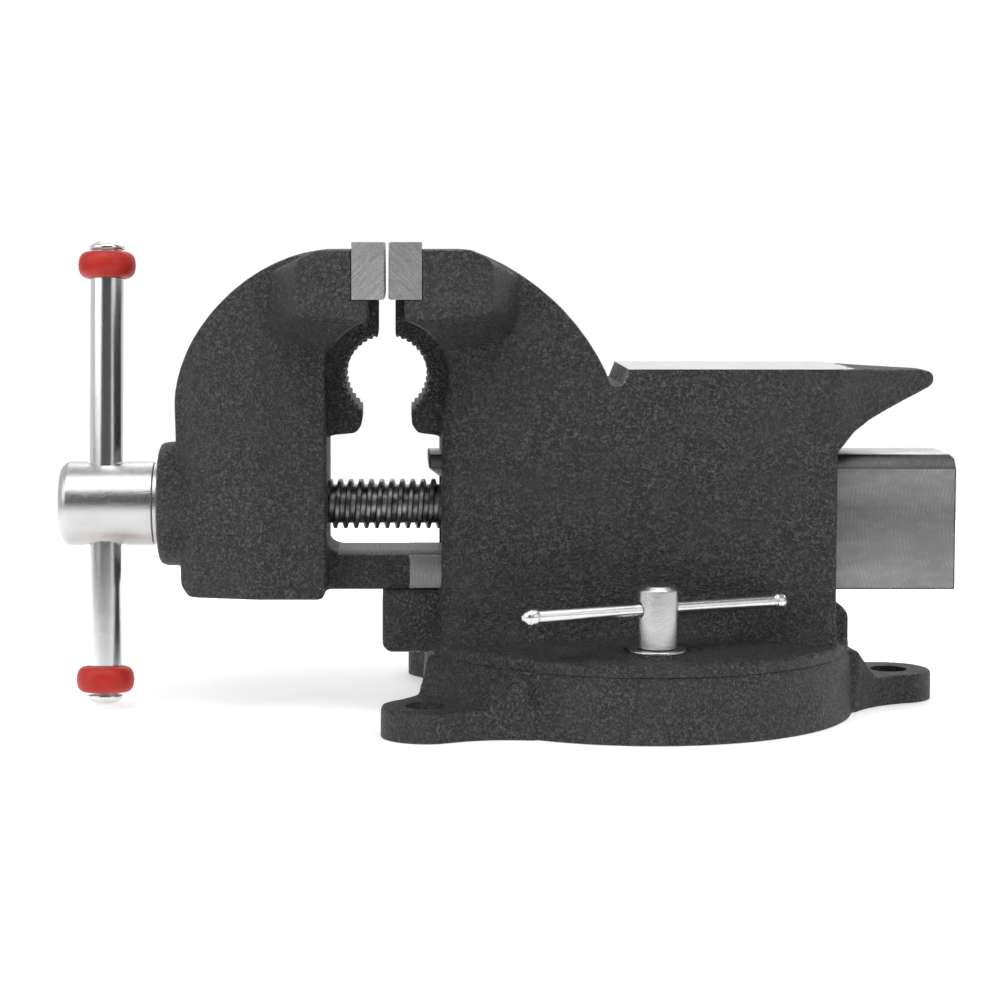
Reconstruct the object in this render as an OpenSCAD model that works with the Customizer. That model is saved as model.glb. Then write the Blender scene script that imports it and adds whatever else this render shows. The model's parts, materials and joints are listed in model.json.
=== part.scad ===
// Bench vise with a swivel base, pipe jaws, an anvil with a horn, and a screw with a sliding handle.
// Frame: millimetres, +Z up, origin on the swivel axis at the underside of the base.
// The moving jaw is on the -X side and opens towards -X; "near" parts are on the -Y side, "far" on the +Y side.

/* [Jaws] */
// Width of both jaws and their plates
jaw_w = 150; // [130:1:180]
// Height of the jaw tops above the bench
jaw_top_z = 221.5; // [216:0.5:240]
// Distance from the swivel axis to the plane where the jaws meet
jaw_reach = 120.8; // [116:0.1:140]
// Length of the fixed jaw's head along the slide, from the jaw plane
fixed_head_l = 48; // [42:1:55]
// Radius of the fixed jaw's round back
fixed_back_r = 112; // [75:1:160]
// Length of the moving jaw's head along the slide, from the jaw plane
moving_head_l = 41.5; // [36:0.5:48]
// Height of the jaw heads' full-width faces
head_h = 33; // [26:1:38]
// Length of the moving jaw's body along the slide
moving_body_l = 73; // [62:1:88]
// Roundness of the moving jaw's back, 1 for a straight slope and 2 for a quarter circle
moving_back_round = 1.75; // [1.5:0.05:2]
// Distance from the jaw plane to the moving jaw's inner face
moving_face = 28.2; // [26:0.2:36]
// Width of the narrow back of the moving jaw
moving_back_w = 44; // [36:1:60]
// Drop of the moving jaw's body below the slide
moving_drop = 3.4; // [1:0.2:8]

/* [Jaw plates] */
// Thickness of a jaw plate
plate_t = 15.7; // [12:0.1:19]
// Height of a jaw plate
plate_h = 26.5; // [22:0.5:30]
// Height that the plates stand above the jaw tops
plate_rise = 3.5; // [1:0.5:6]
// Gap between the plates as stored
jaw_gap = 1.5; // [0.6:0.1:4]
// Pitch of the teeth on a plate
plate_tooth = 2.4; // [1.6:0.1:4]
// Depth of the teeth on a plate
plate_tooth_d = 0.7; // [0.3:0.1:1.2]
// Distance between the two screws of a plate
plate_screw_gap = 96; // [60:1:110]
// Diameter of a plate screw's thread
plate_screw_d = 8; // [6:0.5:10]
// Diameter of a plate screw's head
plate_screw_head_d = 13; // [10:0.5:15]
// Height of a plate screw's head
plate_screw_head_h = 8; // [5:0.5:9]
// Depth of a plate screw in the casting
plate_screw_depth = 16; // [10:1:20]

/* [Pipe jaws] */
// Radius of the pipe jaws' round opening
pipe_r = 19.2; // [16:0.2:21]
// Distance from the jaw tops down to the middle of the pipe opening
pipe_drop = 60; // [56:0.5:66]
// Width of the pipe jaws
pipe_w = 56; // [40:1:70]
// Gap between the two necks above the pipe opening
neck_gap = 8; // [5:0.5:12]
// Gap between the two lower tips
tip_gap = 23.6; // [18:0.2:28]
// Distance from the middle of the pipe opening down to the bottom of the tips
tip_drop = 28; // [25:0.5:32]
// Pitch of the pipe teeth
pipe_tooth = 4; // [3:0.5:6]
// Depth of the pipe teeth
pipe_tooth_d = 1.2; // [0.6:0.1:2]
// Radius of the hollow that the castings leave round the pipe jaws
scoop_r = 29; // [26:0.5:32]

/* [Body] */
// Width of the body and of the moving jaw's body
body_w = 80; // [72:1:96]
// Distance from the jaw plane to the front of the body
body_front = 25.8; // [24:0.2:34]
// Length of the body, front to rear
body_l = 186; // [170:1:220]
// Bevel on the body's upright front edges
body_bevel = 5; // [2:0.5:8]
// Length of the nose block under the slide, ahead of the body
nose_l = 28; // [15:1:40]
// Width of the nose block
nose_w = 60; // [40:1:70]
// Length of the rear foot behind the body
foot_l = 7; // [6:0.5:20]
// Width of the rear foot
foot_w = 64; // [40:1:76]
// Height of the rear foot's top above the bench
foot_z = 54; // [44:1:56]

/* [Anvil] */
// Height of the anvil's face above the bench
anvil_z = 165.6; // [150:0.2:180]
// Length of the anvil's face
anvil_l = 99; // [80:1:110]
// Length of the notch between the jaw and the anvil
notch_l = 10; // [6:0.5:16]
// Depth of the notch
notch_d = 8; // [4:0.5:12]
// Length of the horn behind the body
horn_l = 52.5; // [40:0.5:70]
// Height of the horn's root
horn_h = 42; // [30:1:48]
// Radius of the horn's tip
horn_tip_r = 4; // [2:0.5:8]

/* [Slide] */
// Width of the slide bar
slide_w = 51; // [44:1:58]
// Height of the slide bar
slide_h = 64; // [56:1:68]
// Height of the slide bar's underside above the bench
slide_z = 60; // [58:0.5:66]
// Distance from the rear of the body to the end of the slide bar, jaws closed
slide_tail = 58.5; // [30:0.5:90]
// Thickness of the slide bar's two legs
slide_leg = 8; // [6:0.5:9]
// Thickness of the slide bar's top wall
slide_roof = 7; // [5:0.5:8]
// Height of the solid bar between the jaw and the slide
throat_bar_h = 16.7; // [12:0.5:18]
// Bevel on the slide bar's top edges
slide_bevel = 6.5; // [1:0.5:7]
// Longest opening of the jaws
opening = 150; // [100:5:150]

/* [Screw] */
// Height of the screw's axis above the bench
screw_z = 98.5; // [96:0.5:102]
// Outer diameter of the thread
thread_d = 24; // [20:0.5:25]
// Pitch of the thread
thread_pitch = 5; // [4:0.5:6]
// Depth of the thread
thread_depth = 2.7; // [1.5:0.1:3]
// Diameter of the screw's plain shank in the moving jaw
shank_d = 25; // [24.2:0.2:28]
// Distance from the slide bar's tail to the end of the screw
screw_end_gap = 18; // [10:1:30]
// Diameter of the round boss on the moving jaw
boss_d = 60; // [50:1:70]
// Length of the boss
boss_l = 9; // [5:0.5:14]
// Diameter of the collar that holds the screw in the moving jaw
collar_d = 34; // [30:0.5:38]
// Length of the collar
collar_l = 12; // [8:0.5:14]
// Diameter of the pins in the collar and in the spindle head
pin_d = 6; // [4:0.5:7]

/* [Nut] */
// Length of the nut
nut_l = 46; // [30:1:50]
// Depth of the nut's foot in the floor of the body
nut_foot = 6; // [3:0.5:8]
// Diameter of the nut's bolt
nut_bolt_d = 12; // [10:1:14]
// Distance from the swivel axis to the nut's bolt
nut_reach = 56; // [50:1:62]

/* [Spindle head and handle] */
// Diameter of the spindle head
head_d = 40.6; // [38:0.2:48]
// Length of the spindle head
head_l = 45.5; // [42:0.5:60]
// Distance from the head's outer end to the middle of its cross hole
cross_hole_in = 21.5; // [20:0.5:30]
// Thickness of the thrust washer
thrust_t = 2; // [1:0.5:3]
// Diameter of the handle bar
handle_d = 16; // [12:0.5:18]
// Length of the handle, end to end
handle_l = 225; // [190:1:260]
// Distance that the handle stands above its middle as stored
handle_up = 15.5; // [-30:0.5:40]
// Lean of the handle as stored, lower end towards the near side, in degrees
handle_lean = 6; // [0:0.5:45]
// How much wider an end cap is than the handle bar
cap_lip = 1.2; // [0.6:0.2:4]
// Length of an end cap
cap_l = 6; // [4:0.5:12]
// Thickness of the rubber rings round the bar
ring_wall = 6; // [3:0.5:9]
// Length of a rubber ring
ring_l = 13.5; // [8:0.5:18]

/* [Swivel base] */
// Radius of the base at its top, and of the swivel plate
base_r = 102; // [98:1:120]
// Widening of the base's rim towards the bench
base_draft = 2; // [0:0.5:5]
// Height of the base
base_h = 30; // [28:1:36]
// Height of the swivel plate's rim
plate_rim = 6; // [5:0.5:9]
// Rise of the swivel plate from its rim to its middle
plate_dome = 5.5; // [3:0.5:9]
// Radius of the pivot under the swivel plate
pivot_r = 20; // [15:0.5:26]
// Length of the pivot
pivot_l = 18; // [12:1:20]
// Radius of the hub under the pivot
hub_r = 32; // [28:1:36]
// Radius of the bolt circle of the lugs
lug_circle_r = 130; // [120:1:150]
// Radius of a lug's round end
lug_r = 20.5; // [16:0.5:26]
// Thickness of a lug
lug_t = 14; // [10:0.5:18]
// Diameter of a lug's bolt hole
lug_hole_d = 18; // [12:0.5:20]
// Radius of the hollow sides between a lug and the base
lug_fillet_r = 55; // [15:1:60]
// Angle of the rear lug from the slide's direction, in degrees
lug_angle_rear = 10.5; // [-15:0.5:15]
// Angle of the far lug, in degrees
lug_angle_far = 133.5; // [120:0.5:150]
// Angle of the near lug, in degrees
lug_angle_near = 217.5; // [210:0.5:240]

/* [Swivel locks] */
// Radius of the circle that the lock bolts run on
lock_r = 75; // [72:0.5:78]
// Distance of the lock bolts behind the swivel axis
lock_back = 3; // [-10:0.5:10]
// Diameter of a lock bolt
lock_bolt_d = 10; // [8:0.5:12]
// Size of a lock bolt's square head
lock_head_w = 20; // [16:0.5:22]
// Height of a lock bolt's head
lock_head_h = 8; // [6:0.5:9]
// Diameter of a lock nut
lock_nut_d = 19; // [17:0.5:24]
// Height of a lock nut
lock_nut_h = 29; // [24:0.5:34]
// Distance from a lock nut's top down to its bar
lock_bar_drop = 11; // [8:0.5:13]
// Diameter of a lock bar
lock_bar_d = 6; // [4:0.5:7]
// Distance between the middles of a lock bar's two knobs
lock_bar_l = 131; // [90:1:134]
// Diameter of a lock bar's knob
knob_d = 8; // [7.4:0.2:10]
// Turn of a lock bar from the slide's direction as stored, in degrees
lock_bar_turn = 24; // [10:0.5:24]
// Diameter of a lock washer
lock_washer_d = 27; // [22:0.5:30]
// Thickness of a lock washer
lock_washer_t = 1.8; // [1:0.1:3]

/* [Fits] */
// Radial clearance of a shaft that turns or slides in a bore
run_fit = 0.05; // [0.02:0.01:0.1]
// Gap between flat faces that slide or turn past each other
face_gap = 0.3; // [0.2:0.05:0.5]
// Radial clearance of a bolt in its clearance hole
bolt_fit = 0.5; // [0.2:0.1:1]
// Radial gap between the thread's crest and the nut's bore
thread_gap = 0.3; // [0.2:0.05:0.5]

/* [Hidden] */
$fn = 64;
eps = 0.01;

// Stations along the slide
jaw_x = -jaw_reach;
front_x = jaw_x + body_front;
rear_x = front_x + body_l;
inner_x = jaw_x - moving_face;
back_x = inner_x - moving_body_l;
boss_x = back_x - boss_l;
tail_x = rear_x + slide_tail;
anvil_x = rear_x - anvil_l;
screw_end_x = tail_x - screw_end_gap;
head_x = boss_x - thrust_t - head_l;
handle_x = head_x + cross_hole_in;

// Handle ends
cap_d = handle_d + cap_lip;
cap_spigot = cap_l / 2;
spigot_d = handle_d - 4;

// Heights
seat_z = jaw_top_z + plate_rise - plate_h;
pipe_z = jaw_top_z - pipe_drop;
head_z = jaw_top_z - head_h;
slide_top_z = slide_z + slide_h;
moving_z = slide_z - moving_drop;
deck_z = base_h + face_gap;
rim_z = deck_z + plate_rim;
dome_z = rim_z + plate_dome;
pad_z = rim_z + plate_dome * (1 - lock_r / base_r) + 0.2;

// Tunnel in the body and channel in the slide bar
tunnel_w = slide_w + 2 * face_gap;
tunnel_z = slide_z - face_gap;
tunnel_top_z = slide_top_z + face_gap;
channel_w = slide_w - 2 * slide_leg;
channel_top_z = slide_top_z - slide_roof;
throat_top_z = slide_z + throat_bar_h;
roof_x = front_x - 6;
throat_end_x = front_x + 7;

// Thread and the pieces on the screw
thread_r = thread_d / 2;
shank_r = shank_d / 2;
collar_x = inner_x - collar_l - 1;
collar_pocket_x = collar_x - face_gap;
shank_in_head = head_l - cross_hole_in - handle_d / 2 - 2;
head_pin_x = boss_x - thrust_t - shank_in_head / 2;

// Nut
nut_w = channel_w - 1;
nut_top_z = channel_top_z - 1;
nut_floor_z = tunnel_z - nut_foot;
nut_bolt_head_h = 7.5;
nut_bolt_washer_t = 2.5;
nut_bolt_seat_z = deck_z + 11;

// Swivel base
slot_half = lock_bolt_d / 2 + 0.4;
chamber_half = lock_head_w / 2 + 2;
lip_z = base_h - 9;
chamber_z = lip_z - lock_head_h - 4;
lug_angles = [lug_angle_rear, lug_angle_far, lug_angle_near];

// Swivel locks
lock_seat_z = pad_z + lock_washer_t;
lock_top_z = lock_seat_z + lock_nut_h;
lock_bar_z = lock_top_z - lock_bar_drop;
lock_bore_z = lock_bar_z - lock_bar_d / 2 - 1.5;
lock_y = sqrt(lock_r * lock_r - lock_back * lock_back);

// Plate screws
plate_back = jaw_gap / 2 + plate_t;
plate_screw_z = seat_z + plate_h / 2;
screw_recess = plate_screw_head_h + 1;

// ---- Helpers ----

// Points of an arc about c in the plane of an outline
function arc(c, r, from, to, steps) =
    [for (i = [0:steps]) let (a = from + (to - from) * i / steps) [c[0] + r * cos(a), c[1] + r * sin(a)]];

// An outline drawn in X and Z, made w wide across Y and centred on Y = 0
module across(w) {
    rotate([90, 0, 0]) linear_extrude(height = w, center = true) children();
}

// A round bar along X
module along_x(r, x0, x1) {
    translate([x0, 0, 0]) rotate([0, 90, 0]) cylinder(r = r, h = x1 - x0);
}

// Places a jaw outline, drawn as distance from the jaw plane and height, on the fixed or the moving side
module jaw_side(moving) {
    translate([jaw_x, 0, 0]) mirror([moving ? 1 : 0, 0, 0]) children();
}

// ---- Shapes shared by the two jaws ----

// Pipe jaw: neck, toothed round opening and pointed lower tip; face is the distance to the casting behind
module pipe_jaw(face) {
    half_neck = neck_gap / 2;
    half_tip = tip_gap / 2;
    neck_a = acos(half_neck / pipe_r);
    tip_a = -acos(half_tip / pipe_r);
    teeth = round(pipe_r * (neck_a - tip_a) * PI / 180 / pipe_tooth);
    tip_z = pipe_z - tip_drop;
    across(pipe_w) polygon(concat(
        [[face + 8, seat_z], [half_neck, seat_z]],
        [for (i = [0:2 * teeth]) let (
            a = neck_a + (tip_a - neck_a) * i / (2 * teeth),
            r = pipe_r + (i % 2) * pipe_tooth_d)
            [r * cos(a), pipe_z + r * sin(a)]],
        [[half_tip, tip_z + 5], [half_tip + 3, tip_z + 1.2], [face - 1, tip_z], [face + 8, tip_z - 6]]
    ));
}

// Full-width head that narrows to the body below and behind it
module jaw_head(length, back_z, slope_l, slope_back_z) {
    inner = neck_gap / 2 + 4;
    hull() {
        across(jaw_w) polygon([
            [inner, head_z], [inner, jaw_top_z], [length - 10, jaw_top_z], [length - 3, jaw_top_z - 3],
            [length, back_z], [length, head_z + 5], [length - 4, head_z + 3]
        ]);
        across(body_w) polygon([
            [inner, head_z], [inner, jaw_top_z - 2], [length - 10, jaw_top_z - 0.5],
            [length + slope_l, slope_back_z], [length + slope_l, head_z + 2],
            [length + slope_l - 8, head_z - 10], [moving_face, head_z - 15]
        ]);
    }
}

// Everything cut from a jaw casting for its plate, its plate screws and the hollow round the pipe jaws
module jaw_cuts() {
    translate([-10, -jaw_w, seat_z]) cube([10 + plate_back, 2 * jaw_w, 60]);
    for (side = [-1, 1])
        translate([0, side * plate_screw_gap / 2, plate_screw_z])
            along_x(plate_screw_d / 2 + run_fit, plate_back - 1, plate_back + plate_screw_depth + 1);
}

// Hollow that runs across the castings round the pipe opening
module jaw_scoop() {
    for (side = [-1, 1])
        translate([0, side * (pipe_w / 2 + jaw_w / 2), pipe_z]) rotate([90, 0, 0])
            cylinder(r = scoop_r, h = jaw_w, center = true);
}

// Hardened plate with teeth on its gripping face and two screw holes
module jaw_plate() {
    grip = jaw_gap / 2;
    teeth = floor((plate_h - 2) / plate_tooth);
    start_z = seat_z + (plate_h - teeth * plate_tooth) / 2;
    difference() {
        across(jaw_w) polygon(concat(
            [[plate_back, seat_z], [plate_back, seat_z + plate_h], [grip, seat_z + plate_h]],
            [for (i = [teeth:-1:0], k = [0:(i > 0 ? 1 : 0)])
                [grip + k * plate_tooth_d, start_z + (i - k / 2) * plate_tooth]],
            [[grip, seat_z]]
        ));
        for (side = [-1, 1]) translate([0, side * plate_screw_gap / 2, plate_screw_z]) {
            along_x(plate_screw_d / 2 + bolt_fit, 0, plate_back + 1);
            along_x(plate_screw_head_d / 2 + bolt_fit, -1, grip + screw_recess);
        }
    }
}

// Socket-head screw of a jaw plate, on one side
module plate_screw(side) {
    seat = jaw_gap / 2 + screw_recess;
    socket_w = plate_screw_d * 0.75;
    color([0.22, 0.22, 0.23]) translate([0, side * plate_screw_gap / 2, plate_screw_z]) difference() {
        union() {
            along_x(plate_screw_head_d / 2, seat - plate_screw_head_h, seat);
            along_x(plate_screw_d / 2, seat - eps, plate_back + plate_screw_depth);
        }
        translate([seat - plate_screw_head_h - 1, 0, 0]) rotate([0, 90, 0])
            cylinder(d = socket_w / cos(30), h = 1 + plate_screw_head_h / 2, $fn = 6);
    }
}

// ---- Castings ----

// Lug of the swivel base: a round end joined to the rim by two hollow sides, with a sloping web above
module lug() {
    rim = base_r + base_draft;
    near = rim + lug_fillet_r;
    far = lug_r + lug_fillet_r;
    along = (near * near - far * far + lug_circle_r * lug_circle_r) / (2 * lug_circle_r);
    out = sqrt(near * near - along * along);
    linear_extrude(height = lug_t) difference() {
        union() {
            translate([lug_circle_r, 0]) circle(r = lug_r);
            difference() {
                polygon([[base_r / 2, 0], [along, out], [lug_circle_r, 0], [along, -out]]);
                for (side = [-1, 1]) translate([along, side * out]) circle(r = lug_fillet_r);
            }
        }
        translate([lug_circle_r, 0]) circle(d = lug_hole_d);
    }
    web_end = lug_circle_r - lug_hole_d / 2 - 7;
    difference() {
        across(lug_r * 3.6) polygon([
            [base_r - 14, lug_t - 4], [base_r - 14, base_h - 0.5], [base_r - 2, base_h - 0.5],
            [base_r + 3, base_h - 6], [web_end, lug_t], [web_end, lug_t - 4]
        ]);
        for (side = [-1, 1]) translate([along, side * out, -1]) cylinder(r = lug_fillet_r, h = base_h + 2);
    }
}

// Base that bolts to the bench, with the ring-shaped T-slot that the lock bolts run in
module swivel_base() {
    window = lock_head_w + 4;
    color([0.24, 0.24, 0.25]) difference() {
        union() {
            rotate_extrude($fn = 96) polygon([
                [0, 0], [hub_r, 0], [hub_r, base_h - 8], [lock_r - chamber_half - 4, base_h - 8],
                [lock_r - chamber_half - 4, 0], [base_r + base_draft, 0], [base_r + base_draft, 2],
                [base_r + 0.4, base_h - 1.5], [base_r - 1, base_h], [0, base_h]
            ]);
            for (a = lug_angles) rotate(a) lug();
        }
        rotate_extrude($fn = 96) polygon([
            [lock_r - chamber_half, chamber_z], [lock_r + chamber_half, chamber_z],
            [lock_r + chamber_half, lip_z], [lock_r + slot_half, lip_z], [lock_r + slot_half, base_h + 1],
            [lock_r - slot_half, base_h + 1], [lock_r - slot_half, lip_z], [lock_r - chamber_half, lip_z]
        ]);
        translate([0, 0, base_h - pivot_l - 2]) cylinder(r = pivot_r + run_fit, h = pivot_l + 3);
        translate([-lock_r - window / 2, -window / 2, -1]) cube([window, window, chamber_z + 2]);
    }
}

// Swivel plate with its pivot and the raised pads of the lock bolts
module swivel_plate() {
    rotate_extrude($fn = 96) polygon([
        [0, deck_z - pivot_l], [pivot_r - 1, deck_z - pivot_l], [pivot_r, deck_z - pivot_l + 1],
        [pivot_r, deck_z], [base_r - 1, deck_z], [base_r, deck_z + 1], [base_r, rim_z - 1.5],
        [base_r - 1.5, rim_z], [0, dome_z]
    ]);
    for (side = [-1, 1]) translate([lock_back, side * lock_y, deck_z])
        cylinder(d = lock_washer_d + 4, h = pad_z - deck_z);
}

// Upright outline of the body in X and Z, from the bench side to the anvil and the back of the fixed jaw
module body_outline() {
    top_x = jaw_x + fixed_head_l - 9;
    notch_x = anvil_x - notch_l;
    drop = jaw_top_z - (anvil_z - 1.5);
    run = notch_x - top_x;
    chord = sqrt(run * run + drop * drop);
    tilt = atan2(-drop, run);
    bow = acos(chord / 2 / fixed_back_r);
    centre = [top_x + fixed_back_r * cos(tilt - bow), jaw_top_z + fixed_back_r * sin(tilt - bow)];
    from = atan2(jaw_top_z - centre[1], top_x - centre[0]);
    to = atan2(anvil_z - 1.5 - centre[1], notch_x - centre[0]);
    polygon(concat(
        [[front_x, deck_z], [front_x, seat_z], [jaw_x + plate_back, seat_z], [jaw_x + plate_back, jaw_top_z]],
        arc(centre, fixed_back_r, from, to, 10),
        [[notch_x + 2, anvil_z - notch_d], [anvil_x - 3, anvil_z - notch_d], [anvil_x, anvil_z],
         [rear_x, anvil_z], [rear_x, deck_z]]
    ));
}

// Horn behind the anvil: its side outline crossed with its outline from above
module horn() {
    tip_x = rear_x + horn_l;
    intersection() {
        across(body_w) polygon(concat(
            [[rear_x - 10, anvil_z - horn_h], [rear_x - 10, anvil_z], [rear_x, anvil_z], [tip_x - 8, anvil_z - 1.5]],
            arc([tip_x - horn_tip_r, anvil_z - 2.5 - horn_tip_r], horn_tip_r, 80, -60, 5),
            [for (share = [[0.87, 0.29], [0.68, 0.39], [0.5, 0.49], [0.32, 0.6], [0.16, 0.72], [0.04, 0.88]])
                [rear_x + horn_l * share[0], anvil_z - horn_h * share[1]]]
        ));
        linear_extrude(height = anvil_z) polygon(concat(
            [[rear_x - 10, -body_w / 2], [rear_x + 1, -body_w / 2], [rear_x + horn_l * 0.35, -body_w * 0.3]],
            arc([tip_x - horn_tip_r, 0], horn_tip_r, -70, 70, 6),
            [[rear_x + horn_l * 0.35, body_w * 0.3], [rear_x + 1, body_w / 2], [rear_x - 10, body_w / 2]]
        ));
    }
}

// Block under the slide ahead of the body, and the foot behind it
module nose_and_foot() {
    across(nose_w) polygon([
        [front_x - nose_l, deck_z + 3], [front_x - nose_l, tunnel_z - 2], [front_x - nose_l + 2, tunnel_z],
        [front_x + 10, tunnel_z], [front_x + 10, deck_z], [front_x - nose_l + 3, deck_z]
    ]);
    across(foot_w) polygon([
        [rear_x - 10, deck_z + 2], [rear_x - 10, foot_z + 1], [rear_x + 1, foot_z],
        [rear_x + foot_l - 3, foot_z - 1], [rear_x + foot_l, foot_z - 5], [rear_x + foot_l, deck_z + 2]
    ]);
}

// Fillet between the body's sides and the swivel plate
module body_root() {
    half = body_w / 2;
    start_x = front_x + body_bevel + 2;
    translate([start_x, 0, 0]) rotate([90, 0, 90]) linear_extrude(height = rear_x - start_x)
        polygon([[-half - 7, dome_z - 3.2], [-half - 2.5, dome_z - 0.5], [-half, dome_z + 5],
                 [half, dome_z + 5], [half + 2.5, dome_z - 0.5], [half + 7, dome_z - 3.2], [0, deck_z]]);
}

// Bolt holes and hollows of the body's underside
module body_underside_cuts() {
    translate([-nut_reach, 0, deck_z - 1]) {
        cylinder(d = nut_bolt_d * 2 + 3, h = nut_bolt_seat_z - deck_z + 1);
        cylinder(r = nut_bolt_d / 2 + bolt_fit, h = slide_z);
    }
    translate([-nut_reach - nut_l / 2, -nut_w / 2, nut_floor_z]) cube([nut_l, nut_w, slide_z]);
    for (side = [-1, 1]) translate([lock_back, side * lock_y, 0]) {
        translate([0, 0, deck_z - 1]) cylinder(r = lock_bolt_d / 2 + run_fit, h = pad_z);
        translate([0, 0, pad_z]) cylinder(d = lock_washer_d + 4, h = lock_washer_t + 1);
    }
    hollow_x = pivot_r + 9;
    translate([hollow_x, -body_w / 2 + 9, deck_z - 1]) cube([rear_x - hollow_x - 9, body_w - 18, tunnel_z - deck_z - 9]);
}

// The one casting that holds the fixed jaw, the slide's tunnel, the anvil and the swivel plate
module fixed_body() {
    bevel = body_bevel * sqrt(2);
    color([0.24, 0.24, 0.25]) difference() {
        union() {
            swivel_plate();
            nose_and_foot();
            body_root();
            horn();
            difference() {
                union() {
                    difference() {
                        across(body_w) body_outline();
                        for (side = [-1, 1])
                            translate([front_x, side * body_w / 2, dome_z - 2]) rotate(45)
                                translate([-bevel / 2, -bevel / 2, 0]) cube([bevel, bevel, head_z - 26 - dome_z]);
                    }
                    jaw_side(false) jaw_head(fixed_head_l, jaw_top_z - 6, 14, jaw_top_z - 13);
                }
                jaw_side(false) jaw_scoop();
                jaw_side(false) translate([0, 0, pipe_z]) rotate([90, 0, 0])
                    cylinder(r = pipe_r + 3, h = 2 * jaw_w, center = true);
            }
            jaw_side(false) pipe_jaw(body_front);
        }
        jaw_side(false) jaw_cuts();
        translate([front_x - nose_l - 5, -tunnel_w / 2, tunnel_z])
            cube([body_l + nose_l + foot_l + 20, tunnel_w, tunnel_top_z - tunnel_z]);
        body_underside_cuts();
    }
}

// Outline of the moving jaw in X and Z: a straight face, a round back and a flat underside
module moving_outline() {
    corner = 5;
    steps = 16;
    power = 2 / moving_back_round;
    polygon(concat(
        [[inner_x - corner / 2, moving_z], [back_x + corner + 2, moving_z], [back_x + 3, moving_z + corner]],
        [for (i = [0:steps]) let (a = 90 * i / steps)
            [inner_x - moving_body_l * pow(cos(a), power),
             jaw_top_z - moving_body_l * (1 - pow(sin(a), power))]],
        [[jaw_x - plate_back, jaw_top_z], [jaw_x - plate_back, seat_z], [inner_x, seat_z],
         [inner_x, moving_z + corner]]
    ));
}

// Outline of the slide bar in X and Z, with the throat bar in front of it
module slide_outline() {
    r = 9;
    polygon(concat(
        [[inner_x - 10, slide_z], [tail_x, slide_z], [tail_x, slide_top_z - 2], [tail_x - 2, slide_top_z],
         [roof_x, slide_top_z], [roof_x, channel_top_z + 1]],
        arc([throat_end_x - r, channel_top_z - 3 - r], r, 80, 0, 5),
        arc([throat_end_x - 4, throat_top_z + 4], 4, 0, -90, 3),
        arc([inner_x + 7, throat_top_z + 9], 9, -90, -170, 5),
        [[inner_x - 10, throat_top_z + 14]]
    ));
}

// Slide bar: a channel that is open below, so that it passes over the nut
module slide_bar() {
    half = slide_w / 2;
    difference() {
        across(slide_w) slide_outline();
        translate([throat_end_x, -channel_w / 2, slide_z - 1])
            cube([body_l * 2, channel_w, channel_top_z - slide_z + 1]);
        translate([inner_x, -channel_w / 2, throat_top_z + 6])
            cube([body_l, channel_w, channel_top_z - throat_top_z - 6]);
        for (side = [-1, 1])
            translate([roof_x - 1, side * half, slide_top_z]) rotate([45, 0, 0])
                translate([0, -slide_bevel / sqrt(2), -slide_bevel / sqrt(2)])
                    cube([body_l * 2, slide_bevel * sqrt(2), slide_bevel * sqrt(2)]);
    }
}

// The one casting that holds the moving jaw and the slide bar
module moving_jaw() {
    half = body_w / 2;
    back_half = moving_back_w / 2;
    color([0.24, 0.24, 0.25]) difference() {
        union() {
            difference() {
                union() {
                    intersection() {
                        across(body_w) moving_outline();
                        linear_extrude(height = jaw_top_z + 1) polygon([
                            [jaw_x, -half], [inner_x, -half], [inner_x - moving_body_l * 0.45, -half],
                            [back_x + 9, -back_half - 10], [back_x, -back_half], [back_x, back_half],
                            [back_x + 9, back_half + 10], [inner_x - moving_body_l * 0.45, half],
                            [inner_x, half], [jaw_x, half]
                        ]);
                    }
                    jaw_side(true) jaw_head(moving_head_l, jaw_top_z - 7, 14, jaw_top_z - 11);
                }
                jaw_side(true) jaw_scoop();
                jaw_side(true) translate([0, 0, pipe_z]) rotate([90, 0, 0])
                    cylinder(r = pipe_r + 3, h = 2 * jaw_w, center = true);
            }
            jaw_side(true) pipe_jaw(moving_face);
            slide_bar();
            translate([0, 0, screw_z]) {
                along_x(boss_d / 2 - 3, boss_x, boss_x + 4);
                along_x(boss_d / 2 - 1, boss_x + 1, boss_x + 4);
                along_x(boss_d / 2, boss_x + 3, back_x + moving_body_l / 3);
            }
        }
        jaw_side(true) jaw_cuts();
        translate([0, 0, screw_z]) {
            along_x(shank_r + run_fit, boss_x - 1, inner_x + 1);
            along_x(collar_d / 2 + 1, collar_pocket_x, inner_x + 1);
        }
    }
}

// ---- Jaw plates and their screws ----

module fixed_jaw_plate() { color([0.6, 0.6, 0.6]) jaw_side(false) jaw_plate(); }
module moving_jaw_plate() { color([0.6, 0.6, 0.6]) jaw_side(true) jaw_plate(); }

// ---- Screw, nut and spindle head ----

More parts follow.
